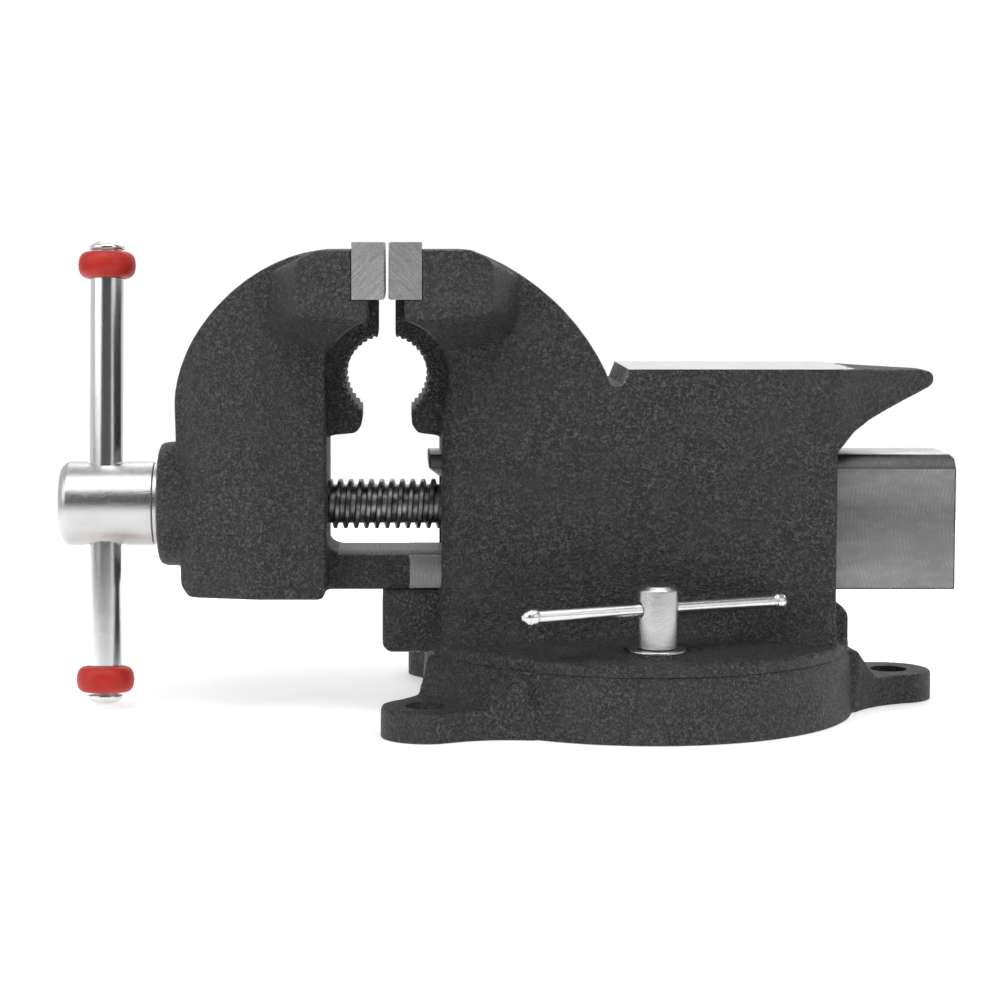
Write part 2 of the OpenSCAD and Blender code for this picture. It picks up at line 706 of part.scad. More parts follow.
// Lead screw: a plain shank through the moving jaw, then the thread, drawn as evenly pitched ridges
module main_screw() {
    root_r = thread_r - thread_depth;
    thread_x = inner_x - 1;
    turns = floor((screw_end_x - thread_x - 4) / thread_pitch);
    flank = thread_depth * tan(15);
    crest = (thread_pitch - 2 * flank) / 2;
    color([0.2, 0.2, 0.21]) translate([0, 0, screw_z]) difference() {
        rotate([0, 90, 0]) rotate_extrude() polygon(concat(
            [[0, boss_x - thrust_t - shank_in_head], [shank_r, boss_x - thrust_t - shank_in_head],
             [shank_r, collar_x - face_gap], [thread_r - 0.5, collar_x - face_gap], [thread_r - 0.5, thread_x - 1],
             [root_r, thread_x]],
            [for (i = [0:turns - 1], p = [[root_r, crest / 2], [thread_r, crest / 2 + flank],
                [thread_r, crest * 1.5 + flank], [root_r, crest * 1.5 + 2 * flank]])
                [p[0], thread_x + i * thread_pitch + p[1]]],
            [[root_r, screw_end_x - 1], [root_r - 1, screw_end_x], [0, screw_end_x]]
        ));
        translate([head_pin_x, 0, -head_d / 2]) cylinder(d = pin_d, h = head_d - 4);
        translate([collar_x + collar_l / 2, 0, -collar_d]) cylinder(d = pin_d, h = 2 * collar_d);
    }
}

module thrust_washer() {
    color([0.7, 0.7, 0.7]) translate([0, 0, screw_z]) difference() {
        along_x(head_d / 2 - 0.5, boss_x - thrust_t, boss_x - face_gap);
        along_x(shank_r + run_fit, boss_x - thrust_t - 1, boss_x + 1);
    }
}

// Spindle head with its cross hole for the handle
module spindle_head() {
    edge = 1.5;
    color([0.8, 0.8, 0.8]) difference() {
        translate([0, 0, screw_z]) difference() {
            rotate([0, 90, 0]) rotate_extrude() polygon([
                [0, head_x], [head_d / 2 - edge, head_x], [head_d / 2, head_x + edge],
                [head_d / 2, head_x + head_l - edge / 2], [head_d / 2 - edge / 2, head_x + head_l],
                [0, head_x + head_l]
            ]);
            along_x(shank_r, head_x + head_l - shank_in_head, head_x + head_l + 1);
            translate([head_pin_x, 0, -head_d / 2 - 1]) cylinder(d = pin_d, h = head_d - 3);
        }
        on_handle() cylinder(r = handle_d / 2 + run_fit, h = head_d + 4, center = true);
    }
}

module head_pin() {
    color([0.5, 0.5, 0.5]) translate([head_pin_x, 0, screw_z - head_d / 2 + 1.5])
        cylinder(d = pin_d, h = head_d - 5.5);
}

module retaining_collar() {
    color([0.35, 0.35, 0.36]) translate([0, 0, screw_z]) difference() {
        along_x(collar_d / 2, collar_x, collar_x + collar_l);
        along_x(thread_r - 0.5, collar_x - 1, collar_x + collar_l + 1);
        translate([collar_x + collar_l / 2, 0, -collar_d]) cylinder(d = pin_d, h = 2 * collar_d);
    }
}

module collar_pin() {
    color([0.5, 0.5, 0.5]) translate([collar_x + collar_l / 2, 0, screw_z])
        cylinder(d = pin_d, h = collar_d - 1, center = true);
}

// Nut in the slide bar's channel, with its foot in the floor of the body
module main_nut() {
    color([0.3, 0.3, 0.31]) difference() {
        translate([-nut_reach - nut_l / 2, -nut_w / 2, nut_floor_z]) cube([nut_l, nut_w, nut_top_z - nut_floor_z]);
        translate([0, 0, screw_z])
            along_x(thread_r + thread_gap, -nut_reach - nut_l, -nut_reach + nut_l);
        translate([-nut_reach, 0, nut_floor_z - 1]) cylinder(r = nut_bolt_d / 2 + run_fit, h = slide_z / 3 + 2);
    }
}

module nut_bolt() {
    color([0.25, 0.25, 0.26]) translate([-nut_reach, 0, nut_bolt_seat_z - nut_bolt_washer_t]) {
        cylinder(d = nut_bolt_d, h = nut_floor_z - nut_bolt_seat_z + nut_bolt_washer_t + slide_z / 3 - 1);
        translate([0, 0, -nut_bolt_head_h])
            cylinder(d = nut_bolt_d * 1.5 / cos(30), h = nut_bolt_head_h, $fn = 6);
    }
}

module nut_bolt_washer() {
    color([0.5, 0.5, 0.5]) translate([-nut_reach, 0, nut_bolt_seat_z - nut_bolt_washer_t]) difference() {
        cylinder(d = nut_bolt_d * 2, h = nut_bolt_washer_t);
        translate([0, 0, -1]) cylinder(r = nut_bolt_d / 2 + run_fit, h = nut_bolt_washer_t + 2);
    }
}

// ---- Handle ----

// The handle's own frame: its middle in the cross hole, +Z along the handle
module on_handle() {
    translate([handle_x, 0, screw_z]) rotate([-handle_lean, 0, 0]) children();
}

// A place on the handle, measured from its middle towards its upper (+1) or lower (-1) end
module handle_end(end) {
    on_handle() translate([0, 0, handle_up]) rotate([end > 0 ? 0 : 180, 0, 0]) children();
}

module handle_bar() {
    color([0.85, 0.85, 0.85]) on_handle() translate([0, 0, handle_up]) {
        cylinder(d = handle_d, h = handle_l - 2 * cap_l, center = true);
        cylinder(d = spigot_d, h = handle_l - 2 * cap_l + 2 * cap_spigot, center = true);
    }
}

// Domed cap on one end of the handle
module handle_cap(end) {
    half = handle_l / 2;
    seat = half - cap_l;
    rim = cap_d / 2;
    edge = 0.6;
    dome = cap_l * 0.45;
    dome_r = (rim * rim + dome * dome) / (2 * dome);
    color([0.85, 0.85, 0.85]) handle_end(end) rotate_extrude() polygon(concat(
        [[0, seat + cap_spigot], [spigot_d / 2, seat + cap_spigot], [spigot_d / 2, seat],
         [rim - edge, seat], [rim, seat + edge]],
        [for (i = [0:6]) let (r = rim * (1 - i / 6)) [r, half - dome_r + sqrt(dome_r * dome_r - r * r)]]
    ));
}

// Rubber ring that keeps the handle in its hole
module handle_ring(end) {
    middle = handle_l / 2 - cap_l - ring_l / 2;
    lip = 1;
    steps = 12;
    color([0.8, 0.2, 0.13]) handle_end(end) rotate_extrude() polygon(concat(
        [[handle_d / 2, middle + ring_l / 2 - lip], [handle_d / 2, middle - ring_l / 2 + lip]],
        [for (i = [0:steps]) let (a = -90 + 180 * i / steps)
            [handle_d / 2 + lip + (ring_wall - lip) * pow(cos(a), 0.7), middle + ring_l / 2 * sin(a)]]
    ));
}

// ---- Swivel locks ----

// A lock bolt's place on the near (-1) or far (+1) side; the far side is the near side's mirror image
module on_lock(side) {
    mirror([0, side > 0 ? 1 : 0, 0]) translate([lock_back, -lock_y, 0]) children();
}

// A lock bar's own frame: its middle on the lock nut's axis, +X along the bar
module on_lock_bar(side) {
    on_lock(side) translate([0, 0, lock_bar_z]) rotate(lock_bar_turn) children();
}

// Square-headed bolt in the base's T-slot
module lock_bolt(side) {
    head_top = lip_z - face_gap;
    turn = atan2(-lock_y, lock_back);
    color([0.4, 0.4, 0.41]) on_lock(side) {
        translate([0, 0, head_top - lock_head_h / 2]) rotate(turn)
            cube([lock_head_w, lock_head_w, lock_head_h], center = true);
        translate([0, 0, head_top - eps]) cylinder(d = lock_bolt_d, h = lock_bore_z - head_top - 1);
    }
}

module lock_washer(side) {
    color([0.7, 0.7, 0.7]) on_lock(side) translate([0, 0, pad_z]) difference() {
        cylinder(d = lock_washer_d, h = lock_washer_t);
        translate([0, 0, -1]) cylinder(r = lock_bolt_d / 2 + bolt_fit, h = lock_washer_t + 2);
    }
}

// Barrel nut with its blind thread below and its cross hole for the bar above
module lock_nut(side) {
    edge = 1.2;
    color([0.78, 0.78, 0.78]) difference() {
        on_lock(side) rotate_extrude() polygon([
            [0, lock_bore_z], [lock_bolt_d / 2 + run_fit, lock_bore_z],
            [lock_bolt_d / 2 + run_fit, lock_seat_z + face_gap], [lock_nut_d / 2, lock_seat_z + face_gap],
            [lock_nut_d / 2, lock_top_z - edge], [lock_nut_d / 2 - edge, lock_top_z], [0, lock_top_z]
        ]);
        on_lock_bar(side) along_x(lock_bar_d / 2 + run_fit, -lock_nut_d, lock_nut_d);
    }
}

module lock_bar(side) {
    color([0.8, 0.8, 0.8]) on_lock_bar(side) along_x(lock_bar_d / 2, -lock_bar_l / 2, lock_bar_l / 2);
}

// Knob on the left (-1) or right (+1) end of a lock bar
module lock_knob(side, end) {
    r = knob_d / 2;
    neck = lock_bar_d / 2;
    color([0.82, 0.82, 0.82]) on_lock_bar(side) rotate([0, end * 90, 0]) difference() {
        translate([0, 0, lock_bar_l / 2]) rotate_extrude() polygon(concat(
            [[0, -r], [neck, -r]], [for (i = [0:8]) let (a = -45 + 135 * i / 8) [r * cos(a), r * 0.9 * sin(a)]]
        ));
        translate([0, 0, lock_bar_l / 2 - 2 * r]) cylinder(d = lock_bar_d, h = 2 * r);
    }
}

// ---- Assembly ----

swivel_base();
fixed_body();
moving_jaw();
fixed_jaw_plate();
moving_jaw_plate();
jaw_side(false) plate_screw(-1);  // fixed_plate_screw_near
jaw_side(false) plate_screw(1);  // fixed_plate_screw_far
jaw_side(true) plate_screw(-1);  // moving_plate_screw_near
jaw_side(true) plate_screw(1);  // moving_plate_screw_far
main_screw();
thrust_washer();
spindle_head();
head_pin();
retaining_collar();
collar_pin();
main_nut();
nut_bolt();
nut_bolt_washer();
handle_bar();
handle_cap(1);  // handle_cap_upper
handle_cap(-1);  // handle_cap_lower
handle_ring(1);  // handle_ring_upper
handle_ring(-1);  // handle_ring_lower
lock_bolt(-1);  // lock_bolt_near
lock_bolt(1);  // lock_bolt_far
lock_washer(-1);  // lock_washer_near
lock_washer(1);  // lock_washer_far
lock_nut(-1);  // lock_nut_near
lock_nut(1);  // lock_nut_far
lock_bar(-1);  // lock_bar_near
lock_bar(1);  // lock_bar_far
lock_knob(-1, -1);  // lock_knob_near_left
lock_knob(-1, 1);  // lock_knob_near_right
lock_knob(1, -1);  // lock_knob_far_left
lock_knob(1, 1);  // lock_knob_far_right
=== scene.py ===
"""Looks of the bench vise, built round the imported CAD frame.

Castings are rebuilt the way the real ones are made. The CAD shape is filled and rounded like a sand
casting, then its machined faces, bores and teeth are cut sharp. Turned pieces are lathed, and the screw gets
its helix. Lengths are in millimetres, except for those of the lights and the floor, which are in metres.
"""
import json
import math

import bmesh
import bpy
from mathutils import Matrix, Vector


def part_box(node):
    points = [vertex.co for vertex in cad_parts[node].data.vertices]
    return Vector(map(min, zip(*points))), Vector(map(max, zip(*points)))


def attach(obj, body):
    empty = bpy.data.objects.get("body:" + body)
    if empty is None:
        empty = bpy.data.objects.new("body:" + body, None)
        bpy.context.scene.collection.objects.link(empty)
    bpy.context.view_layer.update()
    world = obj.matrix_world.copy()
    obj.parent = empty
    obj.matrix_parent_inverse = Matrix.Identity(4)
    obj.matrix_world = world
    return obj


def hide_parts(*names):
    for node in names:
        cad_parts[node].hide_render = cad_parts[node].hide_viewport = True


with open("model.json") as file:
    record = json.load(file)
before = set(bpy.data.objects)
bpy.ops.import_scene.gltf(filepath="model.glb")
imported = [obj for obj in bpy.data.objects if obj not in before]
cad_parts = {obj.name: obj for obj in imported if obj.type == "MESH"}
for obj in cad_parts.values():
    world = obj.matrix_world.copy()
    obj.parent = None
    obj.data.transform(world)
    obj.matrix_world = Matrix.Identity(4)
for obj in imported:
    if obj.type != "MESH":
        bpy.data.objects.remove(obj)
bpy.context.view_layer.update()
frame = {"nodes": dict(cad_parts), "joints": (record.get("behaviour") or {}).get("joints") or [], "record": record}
nodes = frame["nodes"]
joints = {j["name"]: j for j in frame["joints"]}
MM = 0.001
BODY_OF = {n: b for b, members in frame["record"]["behaviour"]["bodies"].items() for n in members}


# ---------------------------------------------------------------- sizes read from the frame

def box_mm(node):
    """Lowest and highest corner of a CAD node, in millimetres."""
    low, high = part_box(node)
    return low / MM, high / MM


moving_lo, moving_hi = box_mm("moving_jaw")
plate_lo, plate_hi = box_mm("fixed_jaw_plate")
mplate_hi = box_mm("moving_jaw_plate")[1]
base_hi = box_mm("swivel_base")[1]
screw_lo, screw_hi = box_mm("main_screw")
head_lo, head_hi = box_mm("spindle_head")
collar_lo, collar_hi = box_mm("retaining_collar")

jaw_x = (plate_lo.x + mplate_hi.x) / 2            # plane where the jaws meet
screw_z = (head_lo.z + head_hi.z) / 2             # axis of the screw
seat_z = plate_lo.z                               # underside of the jaw plates
jaw_top_z = moving_hi.z                           # top of the castings
jaw_w = plate_hi.y - plate_lo.y
anvil_z = next(m["pos_m"][2] for m in frame["record"]["mounts"] if m["name"] == "anvil_face") / MM
tail_x = moving_hi.x                              # rear end of the slide bar
body_w = 80.0
front_x = jaw_x + 25.8                            # front face of the fixed body
rear_x = front_x + 186.0
inner_x = jaw_x - 28.2                            # face of the moving jaw that looks at the body
pipe_z = jaw_top_z - 60.0                         # centre of the pipe jaws
pipe_r = 19.2
neck_half = 4.0                                   # half the gap above the pipe jaws
pipe_half_w = 28.0
tip_half = 11.8                                   # half the gap below the pipe jaws
slide_w, slide_z, slide_top_z = 51.0, 60.0, 124.0
face_gap = 0.3
anvil_x = rear_x - 99.0                           # front end of the anvil
boss_x = moving_lo.x                              # front face of the moving jaw's boss
shank_r = 12.5
plate_screw_y = 48.0
plate_screw_z = (plate_lo.z + plate_hi.z) / 2
plate_screw_r = 4.0
machined_x = front_x - 15.5                       # where the slide bar's machining starts
lugs = [Vector(m["pos_m"]) / MM for m in frame["record"]["mounts"] if m["name"].startswith("bench_bolt")]

handle_axis = Vector(joints["handle_slide"]["axis"]).normalized()
handle_x = head_lo.x + 21.5
head_r = (head_hi.z - head_lo.z) / 2
shank_in_head = head_hi.x - screw_lo.x
bar_r = (box_mm("handle_bar")[1].x - box_mm("handle_bar")[0].x) / 2
ring_r = (box_mm("handle_ring_upper")[1].x - box_mm("handle_ring_upper")[0].x) / 2
handle_l = 225.0
handle_up = 15.5                                  # how far its middle stands above the screw
cap_l = 6.0
ring_l = 13.5

lock_x = (box_mm("lock_nut_near")[0].x + box_mm("lock_nut_near")[1].x) / 2
lock_y = (box_mm("lock_nut_far")[0].y + box_mm("lock_nut_far")[1].y) / 2
lock_bar_z = (box_mm("lock_bar_near")[0].z + box_mm("lock_bar_near")[1].z) / 2
lock_bar_r = (box_mm("lock_bar_near")[1].z - box_mm("lock_bar_near")[0].z) / 2
lock_bar_half = 65.5
lock_turn = math.radians(24)
pad_z = box_mm("lock_washer_near")[0].z            # faced pad under a lock washer


# ---------------------------------------------------------------- mesh helpers

def new_object(name, mesh):
    obj = bpy.data.objects.new(name, mesh)
    bpy.context.scene.collection.objects.link(obj)
    return obj


def from_bmesh(name, bm):
    mesh = bpy.data.meshes.new(name)
    bmesh.ops.recalc_face_normals(bm, faces=bm.faces)
    bm.to_mesh(mesh)
    bm.free()
    return new_object(name, mesh)


def bake_modifiers(obj):
    """Replaces an object's mesh by what its modifiers make of it."""
    graph = bpy.context.evaluated_depsgraph_get()
    mesh = bpy.data.meshes.new_from_object(obj.evaluated_get(graph))
    obj.modifiers.clear()
    old = obj.data
    obj.data = mesh
    bpy.data.meshes.remove(old)


def smooth(obj, angle=32):
    obj.data.shade_smooth()
    obj.data.set_sharp_from_angle(angle=math.radians(angle))


def prism(points, depth0, depth1, axis="Y"):
    """A closed prism of an outline. axis Y: points are X, Z and the depth is Y; axis Z: X, Y and Z."""
    bm = bmesh.new()
    ends = []
    for depth in (depth0, depth1):
        if axis == "Y":
            ends.append([bm.verts.new((x * MM, depth * MM, z * MM)) for x, z in points])
        else:
            ends.append([bm.verts.new((x * MM, y * MM, depth * MM)) for x, y in points])
    bm.faces.new(ends[0])
    bm.faces.new(reversed(ends[1]))
    count = len(points)
    for i in range(count):
        k = (i + 1) % count
        bm.faces.new((ends[0][i], ends[1][i], ends[1][k], ends[0][k]))
    return bm


def block(x0, x1, y0, y1, z0, z1):
    return prism([(x0, z0), (x1, z0), (x1, z1), (x0, z1)], y0, y1)


def rod(centre, direction, radius, length, sides=48, radius_end=None):
    """A closed cylinder or cone that starts at centre and runs along direction."""
    bm = bmesh.new()
    end = radius if radius_end is None else radius_end
    bmesh.ops.create_cone(bm, cap_ends=True, segments=sides, radius1=radius * MM, radius2=end * MM,
                          depth=length * MM)
    turn = Vector((0, 0, 1)).rotation_difference(Vector(direction)).to_matrix().to_4x4()
    middle = (Vector(centre) + Vector(direction).normalized() * length / 2) * MM
    bmesh.ops.transform(bm, matrix=Matrix.Translation(middle) @ turn, verts=bm.verts)
    return bm


def arc(cx, cz, r, start, end, steps):
    """Points of an arc, with angles in degrees."""
    angles = (math.radians(start + (end - start) * i / steps) for i in range(steps + 1))
    return [(cx + r * math.cos(a), cz + r * math.sin(a)) for a in angles]


def lathe(name, profile, origin, direction, sides=96):
    """A turned piece: profile is a list of (distance along direction, radius) from one end to the other."""
    bm = bmesh.new()
    rings = []
    for along, radius in profile:
        if radius < 1e-6:
            rings.append([bm.verts.new((0, 0, along * MM))])
        else:
            rings.append([bm.verts.new((radius * MM * math.cos(a), radius * MM * math.sin(a), along * MM))
                          for a in (2 * math.pi * i / sides for i in range(sides))])
    for low, high in zip(rings, rings[1:]):
        for i in range(sides):
            k = (i + 1) % sides
            quad = [low[i % len(low)], low[k % len(low)], high[k % len(high)], high[i % len(high)]]
            corners = list(dict.fromkeys(quad))
            if len(corners) > 2:
                bm.faces.new(corners)
    turn = Vector((0, 0, 1)).rotation_difference(Vector(direction)).to_matrix().to_4x4()
    bmesh.ops.transform(bm, matrix=Matrix.Translation(Vector(origin) * MM) @ turn, verts=bm.verts)
    obj = from_bmesh(name, bm)
    smooth(obj, 40)
    return obj


def rounded(profile, steps=5):
    """A lathe profile with corners rounded: a point's third number, if it has one, is its corner's radius."""
    points = []
    for i, p in enumerate(profile):
        if len(p) < 3 or i in (0, len(profile) - 1):
            points.append(p[:2])
            continue
        here = Vector(p[:2])
        before = (Vector(profile[i - 1][:2]) - here)
        after = (Vector(profile[i + 1][:2]) - here)
        r = min(p[2], before.length / 2, after.length / 2)
        a, b = here + before.normalized() * r, here + after.normalized() * r
        for s in range(steps + 1):
            t = s / steps
            points.append(tuple(a * (1 - t) ** 2 + here * 2 * t * (1 - t) + b * t * t))
    return points


def cad_copy(name, node, fills=()):
    """The CAD node's mesh, welded, with filling solids added, as a new object."""
    bm = bmesh.new()
    bm.from_mesh(nodes[node].data)
    bmesh.ops.remove_doubles(bm, verts=bm.verts, dist=1e-6)
    obj = from_bmesh(name, bm)
    for fill in fills:
        add = bpy.data.meshes.new("fill")
        bmesh.ops.recalc_face_normals(fill, faces=fill.faces)
        fill.to_mesh(add)
        fill.free()
        joined = bmesh.new()
        joined.from_mesh(obj.data)
        joined.from_mesh(add)
        joined.to_mesh(obj.data)
        joined.free()
        bpy.data.meshes.remove(add)
    obj.data.materials.clear()
    return obj


def round_off(obj, voxel, passes, faces):
    """Rounds a casting: voxel remesh, smoothing passes, then fewer faces where it is flat."""
    remesh = obj.modifiers.new("remesh", "REMESH")
    remesh.mode = "VOXEL"
    remesh.voxel_size = voxel * MM
    soften = obj.modifiers.new("soften", "SMOOTH")
    soften.factor = 0.5
    soften.iterations = passes
    bake_modifiers(obj)
    count = len(obj.data.polygons) * 2
    if count > faces:
        thin = obj.modifiers.new("thin", "DECIMATE")
        thin.ratio = faces / count
        bake_modifiers(obj)


def cut(obj, cutters):
    """Cuts closed solids out of a piece, leaving sharp machined edges."""
    for solid in cutters:
        tool = from_bmesh("cutter", solid)
        change = obj.modifiers.new("cut", "BOOLEAN")
        change.operation = "DIFFERENCE"
        change.solver = "EXACT"
        change.object = tool
        bake_modifiers(obj)
        bpy.data.objects.remove(tool)


def join(obj, solid):
    """Adds a closed solid that touches the piece."""
    bmesh.ops.recalc_face_normals(solid, faces=solid.faces)
    solid.faces.ensure_lookup_table()
    both = bmesh.new()
    both.from_mesh(obj.data)
    extra = bpy.data.meshes.new("extra")
    solid.to_mesh(extra)
    solid.free()
    both.from_mesh(extra)
    both.to_mesh(obj.data)
    both.free()
    bpy.data.meshes.remove(extra)


def place(obj, node, slot, *more_nodes):
    """Puts a finished piece in the place of its CAD nodes."""
    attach(obj, BODY_OF[node])
    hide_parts(node, *more_nodes)
    return obj


# ---------------------------------------------------------------- materials

class Paint:
    """One procedural material: a Principled shader with helpers that add texture nodes in object space."""

    def __init__(self, name, color, roughness, metallic=0.0):
        self.mat = bpy.data.materials.new(name)
        self.mat.use_nodes = True
        self.tree = self.mat.node_tree
        self.shader = self.tree.nodes["Principled BSDF"]
        self.shader.inputs["Base Color"].default_value = (*color, 1)
        self.shader.inputs["Roughness"].default_value = roughness
        self.shader.inputs["Metallic"].default_value = metallic
        self.place = self.tree.nodes.new("ShaderNodeTexCoord").outputs["Object"]
        self.normal = None

    def link(self, source, target):
        self.tree.links.new(source, target)

    def stretch(self, scale, turn=(0, 0, 0)):
        """Object coordinates, turned by degrees about X, Y and Z and then scaled."""
        turned = self.tree.nodes.new("ShaderNodeMapping")
        turned.inputs["Rotation"].default_value = [math.radians(a) for a in turn]
        self.link(self.place, turned.inputs["Vector"])
        node = self.tree.nodes.new("ShaderNodeMapping")
        node.inputs["Scale"].default_value = scale
        self.link(turned.outputs[0], node.inputs["Vector"])
        return node.outputs[0]

    def noise(self, size, detail=3.0, vector=None, distortion=0.0):
        """Noise whose features are about size millimetres."""
        node = self.tree.nodes.new("ShaderNodeTexNoise")
        node.inputs["Scale"].default_value = 1 / (size * MM)
        node.inputs["Detail"].default_value = detail
        node.inputs["Distortion"].default_value = distortion
        self.link(vector or self.place, node.inputs["Vector"])
        return node.outputs[0]

    def rings(self, size, centre, axis, distortion=0.0):
        """Circles round an axis through centre, size millimetres apart, as turning and milling leave them."""
        shift = self.tree.nodes.new("ShaderNodeVectorMath")
        shift.operation = "SUBTRACT"
        shift.inputs[1].default_value = [c * MM for c in centre]
        self.link(self.place, shift.inputs[0])
        node = self.tree.nodes.new("ShaderNodeTexWave")
        node.wave_type = "RINGS"
        node.rings_direction = axis
        node.inputs["Scale"].default_value = 0.314 / (size * MM)
        node.inputs["Distortion"].default_value = distortion
        node.inputs["Detail"].default_value = 2.0
        node.inputs["Detail Scale"].default_value = 1.5
        self.link(shift.outputs[0], node.inputs["Vector"])
        return node.outputs["Fac"]

    def ramp(self, source, *stops):
        """Grey values along a 0 to 1 input, given as (position, value)."""
        node = self.tree.nodes.new("ShaderNodeValToRGB")
        while len(node.color_ramp.elements) < len(stops):
            node.color_ramp.elements.new(0.5)
        for element, (at, value) in zip(node.color_ramp.elements, stops):
            element.position = at
            element.color = (*value, 1) if isinstance(value, tuple) else (value, value, value, 1)
        self.link(source, node.inputs[0])
        return node.outputs[0]

    def math(self, kind, a, b, c=None):
        node = self.tree.nodes.new("ShaderNodeMath")
        node.operation = kind
        for socket, value in zip(node.inputs, (a, b, c)):
            if isinstance(value, (int, float)):
                socket.default_value = value
            elif value is not None:
                self.link(value, socket)
        return node.outputs[0]

    def colour(self, share, low, high):
        """Base colour that goes from low to high with share."""
        self.link(self.ramp(share, (0.0, low), (1.0, high)), self.shader.inputs["Base Color"])

    def roughness(self, share, low, high):
        self.link(self.ramp(share, (0.0, low), (1.0, high)), self.shader.inputs["Roughness"])

    def bump(self, height, depth, strength=1.0):
        """Adds a bump that is depth millimetres deep on top of those before it."""
        node = self.tree.nodes.new("ShaderNodeBump")
        node.inputs["Strength"].default_value = strength
        node.inputs["Distance"].default_value = depth * MM
        self.link(height, node.inputs["Height"])
        if self.normal is not None:
            self.link(self.normal, node.inputs["Normal"])
        self.normal = node.outputs[0]
        self.link(self.normal, self.shader.inputs["Normal"])


def cast_paint():
    """Charcoal paint over sand-cast iron, wrinkled in patches, with a few small bright chips. Its colour is
    painted lighter on the wrinkle crests and grain bumps, as painted highlight, and darker in the hollows between
    them, as painted shade.
    """
    p = Paint("cast_paint", (0.045, 0.043, 0.044), 0.5)
    patches = p.ramp(p.noise(24, 3), (0.38, 0.45), (0.6, 1.0))
    wrinkles = p.noise(2.6, 4, distortion=1.6)
    grain = p.noise(1.2, 2, distortion=1.0)
    chips = p.ramp(p.noise(1.0, 2), (0.775, 0.0), (0.81, 1.0))
    # Painted highlight and shade: the wrinkle and grain heights that drive the bumps below also make the colour
    # lighter on crests and grain and darker in the hollows.
    crests = p.math("MULTIPLY", p.ramp(wrinkles, (0.5, 0.0), (0.64, 1.0)), patches)
    grain_painted_highlight = p.math("MULTIPLY", p.ramp(grain, (0.49, 0.0), (0.6, 1.0)), patches)
    tone = p.math("MULTIPLY_ADD", crests, 0.18, p.math("MULTIPLY", grain_painted_highlight, 0.62))
    tone = p.math("MAXIMUM", tone, chips)
    # The pit colour is painted shade in the hollows, and the crest colour is a painted highlight on crests and
    # grain. The bare colour is real chipped paint.
    pit_painted_shade, crest_painted_highlight, bare = (0.017, 0.0163, 0.0166), (0.140, 0.134, 0.136), (0.34, 0.34, 0.34)
    p.link(p.ramp(tone, (0.0, pit_painted_shade), (0.8, crest_painted_highlight), (1.0, bare)), p.shader.inputs["Base Color"])
    p.roughness(grain, 0.62, 0.34)
    p.bump(p.noise(15, 2), 4.0, 0.6)
    p.bump(p.math("MULTIPLY", wrinkles, patches), 3.4, 1.0)
    p.bump(p.math("MULTIPLY", grain, patches), 3.4, 1.0)
    return p.mat


def bare_teeth():
    """Cast teeth with the paint worn off their crests."""
    p = Paint("bare_teeth", (0.2, 0.2, 0.2), 0.5, 0.6)
    grain = p.noise(1.2, 4)
    p.colour(p.ramp(grain, (0.52, 0.0), (0.72, 1.0)), (0.035, 0.034, 0.035), (0.22, 0.215, 0.21))
    p.roughness(grain, 0.6, 0.4)
    p.bump(grain, 0.6, 0.8)
    return p.mat


def ground_steel(name, turn, level):
    """Ground steel with long parallel scratches; turn is their slope on the sides, in degrees."""
    p = Paint(name, (level, level, level), 0.42, 0.85)
    lines = p.noise(0.6, 3, p.stretch((1, 0.25, 0.05), (0, turn, 0)))
    fine = p.noise(0.35, 3, p.stretch((1, 0.2, 0.04), (0, turn + 9, 0)))
    cloud = p.noise(9, 3)
    speckle = p.noise(0.8, 3)
    tone = p.math("MULTIPLY", cloud, 0.35)
    tone = p.math("MULTIPLY_ADD", p.ramp(lines, (0.38, 0.0), (0.66, 1.0)), 0.36, tone)
    tone = p.math("MULTIPLY_ADD", p.ramp(speckle, (0.35, 0.0), (0.65, 1.0)), 0.3, tone)
    p.colour(tone, (level * 0.6,) * 3, (level * 1.45,) * 3)
    p.roughness(cloud, 0.5, 0.34)
    p.bump(lines, 0.06, 0.6)
    p.bump(fine, 0.03, 0.5)
    return p.mat


def milled(name, level, centre, axis, spacing):
    """Milled iron: faint cutter arcs that come and go, over clouds and a few darker bands along the cut."""
    p = Paint(name, (level, level, level), 0.42, 0.75)
    arcs = p.rings(spacing, centre, axis, 1.2)
    broken = p.ramp(p.noise(3.5, 3, p.stretch((0.5, 1, 1))), (0.42, 0.0), (0.66, 1.0))
    bands = p.ramp(p.noise(16, 2, p.stretch((0.08, 1, 1))), (0.4, 0.0), (0.6, 1.0))
    cloud = p.noise(14, 4)
    speckle = p.noise(0.7, 3)
    marks = p.math("MULTIPLY", arcs, broken)
    tone = p.math("MULTIPLY_ADD", marks, 0.22, p.math("MULTIPLY", cloud, 0.35))
    tone = p.math("MULTIPLY_ADD", bands, 0.22, tone)
    tone = p.math("MULTIPLY_ADD", speckle, 0.3, tone)
    p.colour(tone, (level * 0.45,) * 3, (level * 1.55,) * 3)
    p.roughness(cloud, 0.5, 0.34)
    p.bump(marks, 0.05, 0.6)
    p.bump(speckle, 0.06, 0.6)
    return p.mat


def worn_edge():
    """Dark paint left on the slide bar's small edge chamfers, rubbed to grey in places."""
    p = Paint("edge_paint", (0.03, 0.03, 0.03), 0.5)
    wear = p.noise(2.5, 4)
    p.colour(p.ramp(wear, (0.55, 0.0), (0.7, 1.0)), (0.022, 0.022, 0.022), (0.2, 0.2, 0.2))
    p.roughness(wear, 0.6, 0.4)
    p.bump(wear, 0.2, 0.6)
    return p.mat


def rough_iron():
    """Bare cast iron, as on the unpainted top of the slide bar between the jaws and on the nut."""
    p = Paint("rough_iron", (0.16, 0.155, 0.15), 0.6, 0.55)
    grain = p.noise(1.3, 5)
    p.colour(p.ramp(grain, (0.35, 0.0), (0.68, 1.0)), (0.08, 0.078, 0.076), (0.34, 0.335, 0.33))
    p.bump(grain, 0.4, 0.8)
    p.bump(p.noise(6, 2), 0.7, 0.4)
    return p.mat


